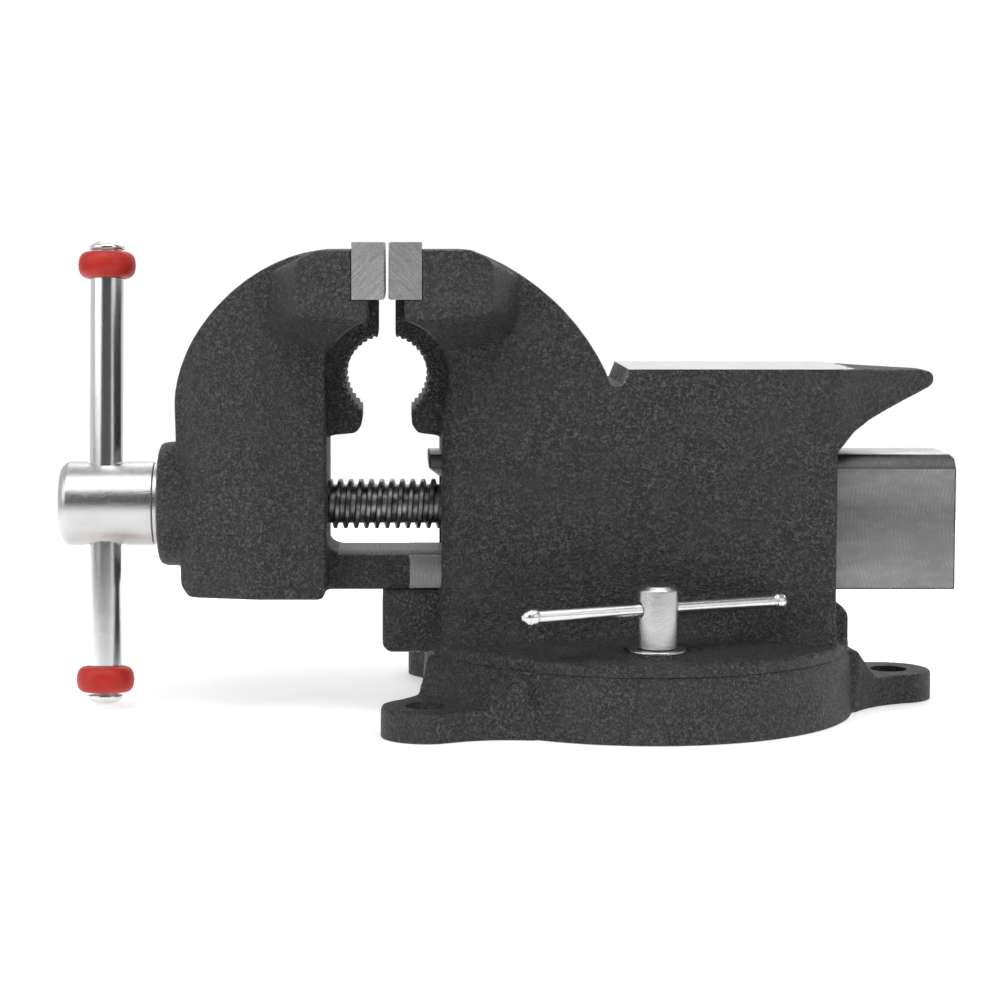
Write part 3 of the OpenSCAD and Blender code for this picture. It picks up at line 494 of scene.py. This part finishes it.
def black_oxide():
    """Black oxide on turned steel, slightly oily, lighter where it rubs."""
    p = Paint("black_oxide", (0.05, 0.05, 0.052), 0.3, 0.9)
    cloud = p.noise(5, 4)
    p.colour(p.ramp(cloud, (0.35, 0.0), (0.65, 1.0)), (0.10, 0.099, 0.098), (0.36, 0.355, 0.35))
    p.roughness(cloud, 0.26, 0.46)
    p.bump(p.noise(0.8, 3, p.stretch((4, 1, 1))), 0.05, 0.6)
    return p.mat


def satin_zinc():
    """Satin plating: bright, with a soft sparkle and faint clouds."""
    p = Paint("satin_zinc", (0.72, 0.72, 0.71), 0.27, 1.0)
    speckle = p.noise(0.45, 3)
    cloud = p.noise(12, 2)
    p.colour(cloud, (0.47, 0.47, 0.467), (0.63, 0.63, 0.625))
    p.roughness(speckle, 0.16, 0.34)
    p.bump(speckle, 0.14, 0.8)
    return p.mat


def bright_chrome():
    """Bright plating over a drawn bar, with a faint speckle and clouds."""
    p = Paint("bright_chrome", (0.80, 0.80, 0.80), 0.14, 1.0)
    speckle = p.noise(0.35, 3)
    cloud = p.noise(14, 2)
    p.colour(cloud, (0.66, 0.66, 0.66), (0.80, 0.80, 0.80))
    p.roughness(speckle, 0.10, 0.26)
    p.bump(speckle, 0.06, 0.8)
    return p.mat


def red_rubber():
    """Smooth red rubber with a slightly dusty, uneven surface."""
    p = Paint("red_rubber", (0.55, 0.035, 0.02), 0.42)
    cloud = p.noise(7, 3)
    p.colour(p.ramp(cloud, (0.3, 0.0), (0.75, 1.0)), (0.41, 0.014, 0.009), (0.51, 0.034, 0.021))
    p.shader.inputs["Specular IOR Level"].default_value = 0.3
    p.roughness(p.noise(1.2, 3), 0.36, 0.54)
    p.bump(p.noise(0.7, 3), 0.05, 0.4)
    return p.mat


# ---------------------------------------------------------------- castings

VOXEL = 1.25                # grid of the castings' remesh
PASSES = 7                   # smoothing passes after it
BIG_CASTING, CASTING = 110000, 90000              # most triangles of a casting
FACING = 0.9                                      # a normal this long along an axis points that way


def mirror_x(points):
    """An outline of the fixed side, as distances from the jaw plane, turned into one of the moving side."""
    return [(-x, z) for x, z in reversed(points)]


def toothed_hole(side):
    """Cutter for one pipe jaw on the +1 or -1 side: neck gap, toothed round opening and the space below."""
    neck_a = math.degrees(math.acos(neck_half / pipe_r))
    tip_a = -math.degrees(math.acos(tip_half / pipe_r))
    teeth = 15
    reach = 60                                    # past both sides of the jaw
    curve = []
    for i in range(teeth):
        for share, r in ((0.0, pipe_r), (0.3, pipe_r + 0.1), (0.62, pipe_r + 0.9), (0.75, pipe_r + 0.85)):
            a = math.radians(neck_a + (tip_a - neck_a) * (i + share) / teeth)
            curve.append((r * math.cos(a), pipe_z + r * math.sin(a)))
    outline = [(-0.5, seat_z + 3), (neck_half, seat_z + 3)] + curve
    outline += [(tip_half, pipe_z - 15.4), (tip_half, pipe_z - 40), (-0.5, pipe_z - 40)]
    if side < 0:
        outline = mirror_x(outline)
    return prism([(jaw_x + x, z) for x, z in outline], -reach, reach)


def pipe_fill(side):
    """Fills the CAD teeth of one pipe jaw, so that the teeth can be cut sharp again."""
    start, end = 76, -50
    points = arc(0, pipe_z, pipe_r - 0.6, start, end, 16) + arc(0, pipe_z, pipe_r + 4, end, start, 16)
    if side < 0:
        points = mirror_x(points)
    return prism([(jaw_x + x, z) for x, z in points], -pipe_half_w, pipe_half_w)


def plate_seat(side, grow):
    """The room of a jaw plate: as a filling when grow is 0, as a cutter when it is larger."""
    near, far = sorted((jaw_x + side * (8 - grow), jaw_x + side * (plate_hi.x - jaw_x)))
    half = jaw_w / 2 + grow
    return block(near, far, -half, half, seat_z, jaw_top_z + grow)


def screw_holes(side):
    """Cutters for the two plate screws in a casting."""
    start = jaw_x + side * (plate_hi.x - jaw_x - 1)
    depth = 18
    return [rod((start, y, plate_screw_z), (side, 0, 0), plate_screw_r, depth)
            for y in (-plate_screw_y, plate_screw_y)]


def assign(obj, *rules):
    """Gives each face the first material whose rule holds for its middle, in millimetres, and its normal."""
    for _, mat in rules:
        obj.data.materials.append(mat)
    for face in obj.data.polygons:
        middle = face.center / MM
        for i, (rule, _) in enumerate(rules):
            if rule(middle, face.normal):
                face.material_index = i
                break


def in_pipe(c, n):
    """True on the teeth of the pipe jaws."""
    reach = math.hypot(c.x - jaw_x, c.z - pipe_z)
    return reach < pipe_r + 1.7 and abs(c.y) < pipe_half_w + 0.5 and c.z < seat_z - 8


def otherwise(c, n):
    return True


def fixed_casting():
    pads = [(x, y) for x, y in ((lock_x, -lock_y), (lock_x, lock_y))]
    obj = cad_copy("fixed_body_casting", "fixed_body", [
        block(front_x, rear_x, -26.5, 26.5, 59, 125),
        plate_seat(1, 0),
        block(anvil_x, rear_x, -body_w / 2, body_w / 2, anvil_z - 5, anvil_z + 3),
        rod((0, 0, 27.3), (0, 0, 1), 102, 5),
        pipe_fill(1),
        *[rod((x, y, 33), (0, 0, 1), 15.5, 6) for x, y in pads],
    ])
    round_off(obj, VOXEL, PASSES, BIG_CASTING)
    flank = [(anvil_x - 8, anvil_z - 7.2), (anvil_x - 2.4, anvil_z - 7.2), (anvil_x + 0.2, anvil_z),
             (anvil_x + 0.2, anvil_z + 6), (anvil_x - 8, anvil_z + 6)]
    groove_r, groove_l = 0.8, 9
    slope = (2.6, 0, 7.4)
    grooves = [rod((anvil_x - 2.6, y, anvil_z - 7), slope, groove_r, groove_l, 12) for y in range(-38, 40, 2)]
    cut(obj, [
        block(front_x - 60, rear_x + 60, -25.8, 25.8, 59.7, 124.3),
        plate_seat(1, 40),
        block(anvil_x - 1, rear_x + 60, -60, 60, anvil_z, anvil_z + 20),
        prism(flank, -60, 60),
        toothed_hole(1),
        *screw_holes(1),
        *grooves,
        *[rod((x, y, pad_z), (0, 0, 1), 15.6, 12) for x, y in pads],
        rod((0, 0, 10), (0, 0, 1), 130, 20.3),
    ])
    pivot_r, pivot_l = 20, 19
    join(obj, rod((0, 0, 12.3), (0, 0, 1), pivot_r, pivot_l, 96))

    def anvil_top(c, n):
        return c.z > anvil_z - 0.3 and n.z > FACING and c.x > anvil_x - 4

    def grooved_slope(c, n):
        return anvil_x - 3.5 < c.x < anvil_x + 0.6 and c.z > anvil_z - 8 and n.x < -0.2

    def slide_tunnel(c, n):
        return abs(c.y) < 25.9 and 59 < c.z < 125 and (abs(n.y) > FACING or abs(n.z) > FACING)

    def underside(c, n):
        return c.z < 31 and n.z < -0.5

    assign(obj, (anvil_top, STEEL_ANVIL), (grooved_slope, IRON), (in_pipe, TEETH), (slide_tunnel, IRON),
           (underside, IRON), (otherwise, PAINT))
    return obj


def moving_casting():
    obj = cad_copy("moving_jaw_casting", "moving_jaw", [plate_seat(-1, 0), pipe_fill(-1)])
    cut(obj, [block(machined_x + 3, tail_x + 20, -60, 60, 40, 140)])
    round_off(obj, VOXEL, PASSES, CASTING)
    cut(obj, [
        plate_seat(-1, 40), toothed_hole(-1), *screw_holes(-1),
        rod((boss_x - 5, 0, screw_z), (1, 0, 0), shank_r + 0.05, 100, 96),
        rod((collar_lo.x - face_gap, 0, screw_z), (1, 0, 0), collar_hi.z - screw_z + 1, 40, 96),
    ])
    top_of_bar = slide_z + 16.7

    def bar_top(c, n):
        return c.x > inner_x + 5 and top_of_bar - 2 < c.z < top_of_bar + 3 and n.z > 0.7

    def boss_face(c, n):
        return boss_x - 1 < c.x < boss_x + 0.6 and n.x < -FACING

    assign(obj, (in_pipe, TEETH), (bar_top, IRON), (boss_face, STEEL_SLIDE), (otherwise, PAINT))
    return obj


def slide_bar():
    obj = cad_copy("slide_bar", "moving_jaw")
    cut(obj, [block(moving_lo.x - 20, machined_x, -100, 100, 0, jaw_top_z + 20)])
    flat = obj.modifiers.new("flat", "DECIMATE")
    flat.decimate_type = "DISSOLVE"
    flat.angle_limit = math.radians(1)
    bevel = obj.modifiers.new("bevel", "BEVEL")
    bevel.width = 0.8 * MM
    bevel.segments = 3
    bevel.limit_method = "ANGLE"
    bevel.angle_limit = math.radians(50)
    bake_modifiers(obj)
    flat_share, edge_share = 0.98, 0.995          # least shares of the normals of flat faces
    inside = slide_w / 2 - 7

    def top(c, n):
        return n.z > flat_share and c.z > slide_top_z - 0.5

    def top_bevel(c, n):
        return abs(abs(n.y) - abs(n.z)) < 0.1 and n.z > 0.5 and c.z > slide_top_z - 8

    def rough_inside(c, n):
        return abs(c.y) < inside or (c.x < front_x and n.z > 0.5) or n.z < -flat_share

    def small_edge(c, n):
        return max(abs(n.x), abs(n.y), abs(n.z)) < edge_share and c.x > front_x

    # The top bevels take a much darker copy of the ground steel, a painted dark reflection along the top edges.
    assign(obj, (top, STEEL_ANVIL), (top_bevel, STEEL_BEVEL_PAINTED_DARK), (rough_inside, IRON), (small_edge, EDGE),
           (otherwise, STEEL_SLIDE))
    return obj


def base_casting():
    """The base, made 3 mm deeper before it is rounded, so that its cut underside keeps a sharp edge."""
    skirt = bmesh.new()
    skirt.from_mesh(nodes["swivel_base"].data)
    bmesh.ops.remove_doubles(skirt, verts=skirt.verts, dist=1e-6)
    bmesh.ops.translate(skirt, vec=(0, 0, -3 * MM), verts=skirt.verts)
    obj = cad_copy("swivel_base_casting", "swivel_base", [
        skirt, rod((0, 0, 24), (0, 0, 1), 101.6, 9),
        *[rod((at.x, at.y, -2), (0, 0, 1), 9.5, 15) for at in lugs],
    ])
    round_off(obj, VOXEL, PASSES, CASTING)
    cut(obj, [
        rod((0, 0, base_hi.z), (0, 0, 1), 130, 20),
        rod((0, 0, -20), (0, 0, 1), 190, 20),
        *[rod((at.x, at.y, -4), (0, 0, 1), 9, 40) for at in lugs],
    ])

    def faced(c, n):
        return (c.z > base_hi.z - 0.2 and n.z > FACING) or (c.z < 0.2 and n.z < -FACING)

    assign(obj, (faced, IRON), (otherwise, PAINT))
    return obj


# ---------------------------------------------------------------- jaw plates

def jaw_plate(name, side, mat):
    """Hardened plate with diamond teeth on its gripping face and two counterbored screw holes."""
    step = 0.95
    depth = 0.8
    seat_gap = 0.45
    grip = jaw_x + side * (plate_lo.x - jaw_x)
    back = jaw_x + side * (plate_hi.x - jaw_x - seat_gap)
    half = jaw_w / 2 - 0.1
    low, high = plate_lo.z + seat_gap, plate_hi.z
    rows = round((high - low) / step)
    columns = round(2 * half / step)
    bm = bmesh.new()
    grid = []
    for i in range(rows + 1):
        line = []
        for j in range(columns + 1):
            border = i in (0, rows)
            peak = (i + j) % 2 == 0 and not border
            x = grip if peak else grip + side * depth
            line.append(bm.verts.new((x * MM, (-half + 2 * half * j / columns) * MM,
                                      (low + (high - low) * i / rows) * MM)))
        grid.append(line)
    for i in range(rows):
        for j in range(columns):
            a, b, c, d = grid[i][j], grid[i][j + 1], grid[i + 1][j + 1], grid[i + 1][j]
            if (i + j) % 2 == 0:
                bm.faces.new((a, b, d))
                bm.faces.new((b, c, d))
            else:
                bm.faces.new((a, b, c))
                bm.faces.new((a, c, d))
    rim = [grid[0][j] for j in range(columns + 1)] + [grid[i][columns] for i in range(1, rows + 1)]
    rim += [grid[rows][j] for j in range(columns - 1, -1, -1)] + [grid[i][0] for i in range(rows - 1, 0, -1)]
    behind = [bm.verts.new((back * MM, v.co.y, v.co.z)) for v in rim]
    count = len(rim)
    for i in range(count):
        k = (i + 1) % count
        bm.faces.new((rim[i], behind[i], behind[k], rim[k]))
    bm.faces.new(behind)
    obj = from_bmesh(name, bm)
    holes = []
    for y in (-plate_screw_y, plate_screw_y):
        holes.append(rod((grip - side * 2, y, plate_screw_z), (side, 0, 0), 7, 11.5))
        holes.append(rod((grip - side * 2, y, plate_screw_z), (side, 0, 0), plate_screw_r + 0.5, 40))
    cut(obj, holes)
    obj.data.materials.append(mat)
    smooth(obj, 20)
    return obj


# ---------------------------------------------------------------- screw, head and handle

def lead_screw():
    """Trapezoidal thread as one helical surface, closed by the plain shank in front."""
    pitch = 5.0
    crest_r = 12.0
    root_r = 9.4
    sides = 48
    start, end = inner_x - 1, screw_hi.x
    turns = int((end - start) / pitch) + 3
    shape = ((0.0, root_r), (0.16, crest_r), (0.48, crest_r), (0.64, root_r))
    bm = bmesh.new()
    ring_of = {}

    def vertex(m, s):
        extra, s = divmod(s, sides)
        m += extra * len(shape)
        key = (m, s)
        if key not in ring_of:
            turn, corner = divmod(m, len(shape))
            offset, r = shape[corner]
            x = start + (turn - 2 + offset + s / sides) * pitch
            if x <= start or x >= end:
                x = min(max(x, start), end)
                r = root_r
            a = 2 * math.pi * s / sides
            ring_of[key] = bm.verts.new((x * MM, r * MM * math.sin(a), (screw_z + r * math.cos(a)) * MM))
        return ring_of[key]

    for m in range(turns * len(shape)):
        for s in range(sides):
            bm.faces.new((vertex(m, s), vertex(m, s + 1), vertex(m + 1, s + 1), vertex(m + 1, s)))
    bmesh.ops.remove_doubles(bm, verts=bm.verts, dist=1e-6)
    bmesh.ops.dissolve_degenerate(bm, edges=bm.edges, dist=1e-6)
    bmesh.ops.holes_fill(bm, edges=bm.edges, sides=0)
    obj = from_bmesh("lead_screw", bm)
    neck_r = 11.5
    neck_x = collar_lo.x - face_gap
    shank = lathe("shank", rounded([
        (screw_lo.x, 0), (screw_lo.x, shank_r, 1), (neck_x, shank_r, 0.5), (neck_x, neck_r, 0.5),
        (start + 0.4, neck_r, 0.5), (start + 0.4, 0)]), (0, 0, screw_z), (1, 0, 0), 48)
    merge(obj, shank)
    obj.data.materials.append(BLACK)
    smooth(obj, 30)
    return obj


def merge(obj, *others):
    """Joins closed pieces that touch into one object."""
    bm = bmesh.new()
    for part in (obj, *others):
        bm.from_mesh(part.data)
    bm.to_mesh(obj.data)
    bm.free()
    for part in others:
        bpy.data.objects.remove(part)


def soften_edges(obj, width, angle=25):
    """Small bevels on the edges that a cut has left."""
    bevel = obj.modifiers.new("bevel", "BEVEL")
    bevel.width = width * MM
    bevel.segments = 2
    bevel.limit_method = "ANGLE"
    bevel.angle_limit = math.radians(angle)
    bake_modifiers(obj)


def spindle_head():
    """Turned head with rounded ends and a cross hole whose mouths are flared."""
    r = head_r
    length = head_hi.x - head_lo.x
    obj = lathe("spindle_head_turned", rounded([
        (0, 0), (0, r - 3.6, 0.8), (0.9, r - 2.2, 1.0), (3.0, r, 2.0), (length - 0.6, r, 0.8),
        (length, r - 0.8, 0.4),
        (length, 0)]), (head_lo.x, 0, screw_z), (1, 0, 0), 128)
    middle = Vector((handle_x, 0, screw_z))
    cutters = [rod(middle - handle_axis * 40, handle_axis, bar_r + 0.15, 80, 64),
               rod((head_hi.x - shank_in_head, 0, screw_z), (1, 0, 0), shank_r, 60, 64)]
    for end in (1, -1):
        out = handle_axis * end
        cutters.append(rod(middle + out * (r - 4.5), out, bar_r, 8, 64, bar_r + 4.2))
    cut(obj, cutters)
    soften_edges(obj, 0.35)
    obj.data.materials.append(ZINC)
    smooth(obj, 28)
    return obj


def handle_pieces():
    """Bar, domed caps and rubber rings, all turned about the handle's axis."""
    middle = Vector((handle_x, 0, screw_z)) + handle_axis * handle_up
    reach = handle_l / 2
    cap_seat = reach - cap_l
    bar = lathe("handle_bar_turned", rounded([
        (-cap_seat, 0), (-cap_seat, bar_r, 0.3), (cap_seat, bar_r, 0.3), (cap_seat, 0)]),
        middle, handle_axis, 96)
    bar.data.materials.append(CHROME)
    place(bar, "handle_bar", "bright_chrome")
    ring_start = cap_seat - ring_l + 1.0
    for end, tag in ((1, "upper"), (-1, "lower")):
        out = handle_axis * end
        cap = lathe("handle_cap_turned_" + tag, rounded([
            (cap_seat, 0), (cap_seat, bar_r - 1.1, 0.3), (cap_seat + 1.1, bar_r - 1.1, 0.4),
            (cap_seat + 1.3, bar_r + 0.55, 0.7), (cap_seat + 3.2, bar_r + 0.5, 2.2), (reach - 0.5, 4.4, 2.6),
            (reach, 2.0, 1.5), (reach, 0)]), middle, out, 64)
        cap.data.materials.append(CHROME)
        place(cap, "handle_cap_" + tag, "bright_chrome")
        ring = lathe("rubber_ring_" + tag, ring_profile(ring_start, cap_seat + 0.2), middle, out, 96)
        ring.data.materials.append(RUBBER)
        place(ring, "handle_ring_" + tag, "red_rubber")


def ring_profile(low, high):
    """Round-shouldered rubber ring with a thin mould line round its middle."""
    centre = (low + high) / 2
    half = (high - low) / 2
    points = [(low + 1.6, bar_r - 0.05), (low + 0.7, bar_r + 0.7)]
    steps = 36
    for i in range(steps + 1):
        a = -math.pi / 2 + math.pi * i / steps
        bulge = math.copysign(abs(math.sin(a)) ** 0.8, a)
        radius = bar_r + 1.4 + (ring_r - bar_r - 1.55) * max(math.cos(a), 0) ** 0.95
        seam = 0.15 if abs(i - steps / 2) < 0.6 else 0.0
        points.append((centre + half * bulge, radius + seam))
    return points + [(high - 0.7, bar_r + 0.7), (high - 1.6, bar_r - 0.05)]


# ---------------------------------------------------------------- swivel locks

def swivel_lock(tag, side):
    """Nut, washer, bar and knobs of one swivel lock."""
    here = Vector((lock_x, side * lock_y, 0))
    along = Vector((math.cos(lock_turn), -side * math.sin(lock_turn), 0))
    nut_node, washer_node, bar_node = "lock_nut_" + tag, "lock_washer_" + tag, "lock_bar_" + tag
    low, high = box_mm(nut_node)
    r = (high.x - low.x) / 2
    nut = lathe("lock_nut_turned_" + tag, rounded([
        (low.z, 0), (low.z, r, 0.5), (high.z - 2.0, r, 0.5), (high.z, r - 2.2, 0.5), (high.z, 0)]),
        here, (0, 0, 1), 96)
    centre = here + Vector((0, 0, lock_bar_z))
    cut(nut, [
        rod(centre - along * 30, along, lock_bar_r + 0.12, 60, 48),
        *[rod(centre + along * e * (r - 1.6), along * e, lock_bar_r, 4, 48, lock_bar_r + 1.9)
          for e in (1, -1)],
        rod(here + Vector((0, 0, low.z - 1)), (0, 0, 1), 5.05, lock_bar_z - lock_bar_r - 1.5 - low.z + 1, 48),
    ])
    soften_edges(nut, 0.2)
    nut.data.materials.append(ZINC)
    smooth(nut, 28)
    place(nut, nut_node, "satin_zinc")

    w_low, w_high = box_mm(washer_node)
    w_r = (w_high.x - w_low.x) / 2
    washer = lathe("lock_washer_turned_" + tag, rounded([
        (w_low.z, 5.5), (w_low.z, w_r, 0.4), (w_high.z - 0.2, w_r, 0.9), (w_high.z - 0.1, r + 1.5, 0.5),
        (w_high.z - 0.1, 5.5)]) + [(w_low.z, 5.5)], here, (0, 0, 1), 96)
    washer.data.materials.append(ZINC)
    place(washer, washer_node, "satin_zinc")

    k_low, k_high = box_mm("lock_knob_" + tag + "_right")
    knob_r = (k_high.z - k_low.z) / 2
    reach = lock_bar_half
    bar = lathe("lock_bar_turned_" + tag, rounded([
        (-reach + 1, 0), (-reach + 1, lock_bar_r, 0.3), (reach - 1, lock_bar_r, 0.3), (reach - 1, 0)]),
        centre, along, 48)
    bar.data.materials.append(CHROME)
    place(bar, bar_node, "bright_chrome")
    for end, word in ((-1, "left"), (1, "right")):
        knob = lathe("lock_knob_turned_" + tag + "_" + word, rounded([
            (-knob_r, 0), (-knob_r, lock_bar_r + 0.35, 0.3), (-knob_r + 0.9, lock_bar_r + 0.35, 0.3),
            (-knob_r + 1.2, knob_r, 0.7), (0.3, knob_r, 0.4), (0.7, knob_r - 0.55, 0.2),
            (1.1, knob_r - 0.3, 0.3), (2.0, knob_r - 0.9, 0.8), (knob_r * 0.88, 1.4, 1.0),
            (knob_r * 0.88, 0)]),
            centre + along * end * reach, along * end, 48)
        knob.data.materials.append(CHROME)
        place(knob, "lock_knob_" + tag + "_" + word, "bright_chrome")


# ---------------------------------------------------------------- camera, light and floor

def pixels_to_lens(pixels):
    """Lens for a focal length in pixels, on a 36 mm sensor and the 1000-pixel frame."""
    return 36.0 * pixels / 1000.0


def make_camera():
    """The camera stands in front of the moving jaw, a little above the jaws, and looks slightly down."""
    cam = bpy.data.cameras.new("camera")
    obj = bpy.data.objects.new("camera", cam)
    bpy.context.scene.collection.objects.link(obj)
    focal = 2583.7
    look_down = 4.0
    stand = Vector((-117, -1247, 226))
    cam.lens = pixels_to_lens(focal)
    cam.shift_x = 0.105
    cam.shift_y = -0.0794
    cam.clip_start, cam.clip_end = 0.05, 60
    obj.location = stand * MM
    obj.rotation_euler = (math.radians(90 - look_down), 0, 0)
    bpy.context.scene.camera = obj


def make_light(name, location, target, size, power):
    """A rectangular soft box that looks at its target."""
    data = bpy.data.lights.new(name, "AREA")
    data.shape = "RECTANGLE"
    data.size, data.size_y = size
    data.energy = power
    obj = bpy.data.objects.new(name, data)
    bpy.context.scene.collection.objects.link(obj)
    obj.location = location
    obj.rotation_euler = (Vector(target) - Vector(location)).to_track_quat("-Z", "Y").to_euler()


def make_world():
    """White to the camera. Its light is pale behind the vise, dark in front, and twice as strong in gloss."""
    fill, extra_gloss, seen_strength = 0.45, 0.45, 1.02
    dark_until, pale_from = 0.42, 0.62
    world = bpy.data.worlds.new("studio")
    bpy.context.scene.world = world
    world.use_nodes = True
    tree = world.node_tree
    tree.nodes.clear()
    out = tree.nodes.new("ShaderNodeOutputWorld")
    seen = tree.nodes.new("ShaderNodeBackground")
    lit = tree.nodes.new("ShaderNodeBackground")
    mix = tree.nodes.new("ShaderNodeMixShader")
    path = tree.nodes.new("ShaderNodeLightPath")
    coordinates = tree.nodes.new("ShaderNodeTexCoord")
    split = tree.nodes.new("ShaderNodeSeparateXYZ")
    ramp = tree.nodes.new("ShaderNodeValToRGB")
    reach = tree.nodes.new("ShaderNodeMapRange")
    reach.inputs["From Min"].default_value = -1
    ramp.color_ramp.elements[0].position = dark_until
    ramp.color_ramp.elements[0].color = (0.10, 0.10, 0.105, 1)
    ramp.color_ramp.elements[1].position = pale_from
    ramp.color_ramp.elements[1].color = (0.85, 0.85, 0.86, 1)
    seen.inputs["Color"].default_value = (1, 1, 1, 1)
    seen.inputs["Strength"].default_value = seen_strength
    gloss = tree.nodes.new("ShaderNodeMath")
    gloss.operation = "MULTIPLY_ADD"
    gloss.inputs[1].default_value = extra_gloss
    gloss.inputs[2].default_value = fill
    tree.links.new(path.outputs["Is Glossy Ray"], gloss.inputs[0])
    tree.links.new(gloss.outputs[0], lit.inputs["Strength"])
    tree.links.new(coordinates.outputs["Generated"], split.inputs[0])
    tree.links.new(split.outputs["Y"], reach.inputs["Value"])
    tree.links.new(reach.outputs[0], ramp.inputs[0])
    tree.links.new(ramp.outputs[0], lit.inputs["Color"])
    tree.links.new(path.outputs["Is Camera Ray"], mix.inputs[0])
    tree.links.new(lit.outputs[0], mix.inputs[1])
    tree.links.new(seen.outputs[0], mix.inputs[2])
    tree.links.new(mix.outputs[0], out.inputs[0])


def make_floor():
    """A white round floor that glows more towards its rim, so that it melts into the white background."""
    floor_r, below = 0.9, 0.0003
    bm = bmesh.new()
    bmesh.ops.create_circle(bm, cap_ends=True, segments=128, radius=floor_r)
    floor = from_bmesh("floor", bm)
    floor.location = (0, 0, -below)
    p = Paint("floor", (0.88, 0.88, 0.88), 0.6)
    fade = p.tree.nodes.new("ShaderNodeTexGradient")
    fade.gradient_type = "SPHERICAL"
    p.link(p.stretch((1.2, 1.2, 1.2)), fade.inputs[0])
    p.shader.inputs["Emission Color"].default_value = (1, 1, 1, 1)
    p.link(p.ramp(fade.outputs[1], (0.1, 0.9), (0.72, 0.42)), p.shader.inputs["Emission Strength"])
    floor.data.materials.append(p.mat)


def make_lights():
    """Soft boxes: large at the left front, a smaller one at the right front, one overhead in front."""
    aim = (-0.05, 0, 0.12)
    make_light("left", (-1.45, -0.65, 0.85), aim, (1.5, 1.3), 10)
    make_light("right", (1.1, -0.9, 0.6), aim, (0.9, 0.9), 2.6)
    make_light("top", (0.0, -0.6, 1.4), aim, (1.8, 1.0), 19)
    make_light("back", (0.2, 1.3, 1.2), aim, (1.8, 1.0), 7)


# ---------------------------------------------------------------- the whole vise

PAINT = cast_paint()
TEETH = bare_teeth()
IRON = rough_iron()
STEEL_ANVIL = ground_steel("anvil_steel", 90, 0.6)
STEEL_FIXED = ground_steel("plate_steel_fixed", 45, 0.44)
STEEL_MOVING = ground_steel("plate_steel_moving", -45, 0.52)
STEEL_SLIDE = milled("milled_slide", 0.235, (tail_x + 50, -slide_w, slide_z + 33), "Y", 1.9)
# The same ground steel as the slide top, made far darker for its bevels: a painted dark reflection, not a
# different finish.
STEEL_BEVEL_PAINTED_DARK = ground_steel("bevel_steel_painted_dark", 0, 0.085)
EDGE = worn_edge()
BLACK = black_oxide()
ZINC = satin_zinc()
CHROME = bright_chrome()
RUBBER = red_rubber()

make_camera()
make_world()
make_floor()
make_lights()
bpy.context.scene.view_settings.view_transform = "Standard"

fixed = place(fixed_casting(), "fixed_body", "cast_paint")
moving = place(moving_casting(), "moving_jaw", "cast_paint")
bar = slide_bar()
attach(bar, "moving_jaw")
base = place(base_casting(), "swivel_base", "cast_paint")
for piece in (fixed, moving, bar, base):
    smooth(piece)

place(jaw_plate("fixed_plate_toothed", 1, STEEL_FIXED), "fixed_jaw_plate", "plate_steel")
place(jaw_plate("moving_plate_toothed", -1, STEEL_MOVING), "moving_jaw_plate", "plate_steel")
place(lead_screw(), "main_screw", "black_steel")
place(spindle_head(), "spindle_head", "satin_zinc")
handle_pieces()
swivel_lock("near", -1)
swivel_lock("far", 1)

KEPT = {
    "fixed_plate_screw_near": BLACK, "fixed_plate_screw_far": BLACK, "moving_plate_screw_near": BLACK,
    "moving_plate_screw_far": BLACK, "retaining_collar": BLACK, "nut_bolt": BLACK, "lock_bolt_near": BLACK,
    "lock_bolt_far": BLACK, "main_nut": IRON, "thrust_washer": ZINC, "head_pin": ZINC, "collar_pin": ZINC,
    "nut_bolt_washer": ZINC,
}
for node, mat in KEPT.items():
    obj = nodes[node]
    if not obj.material_slots:
        obj.data.materials.append(mat)
    for slot in obj.material_slots:
        slot.material = mat
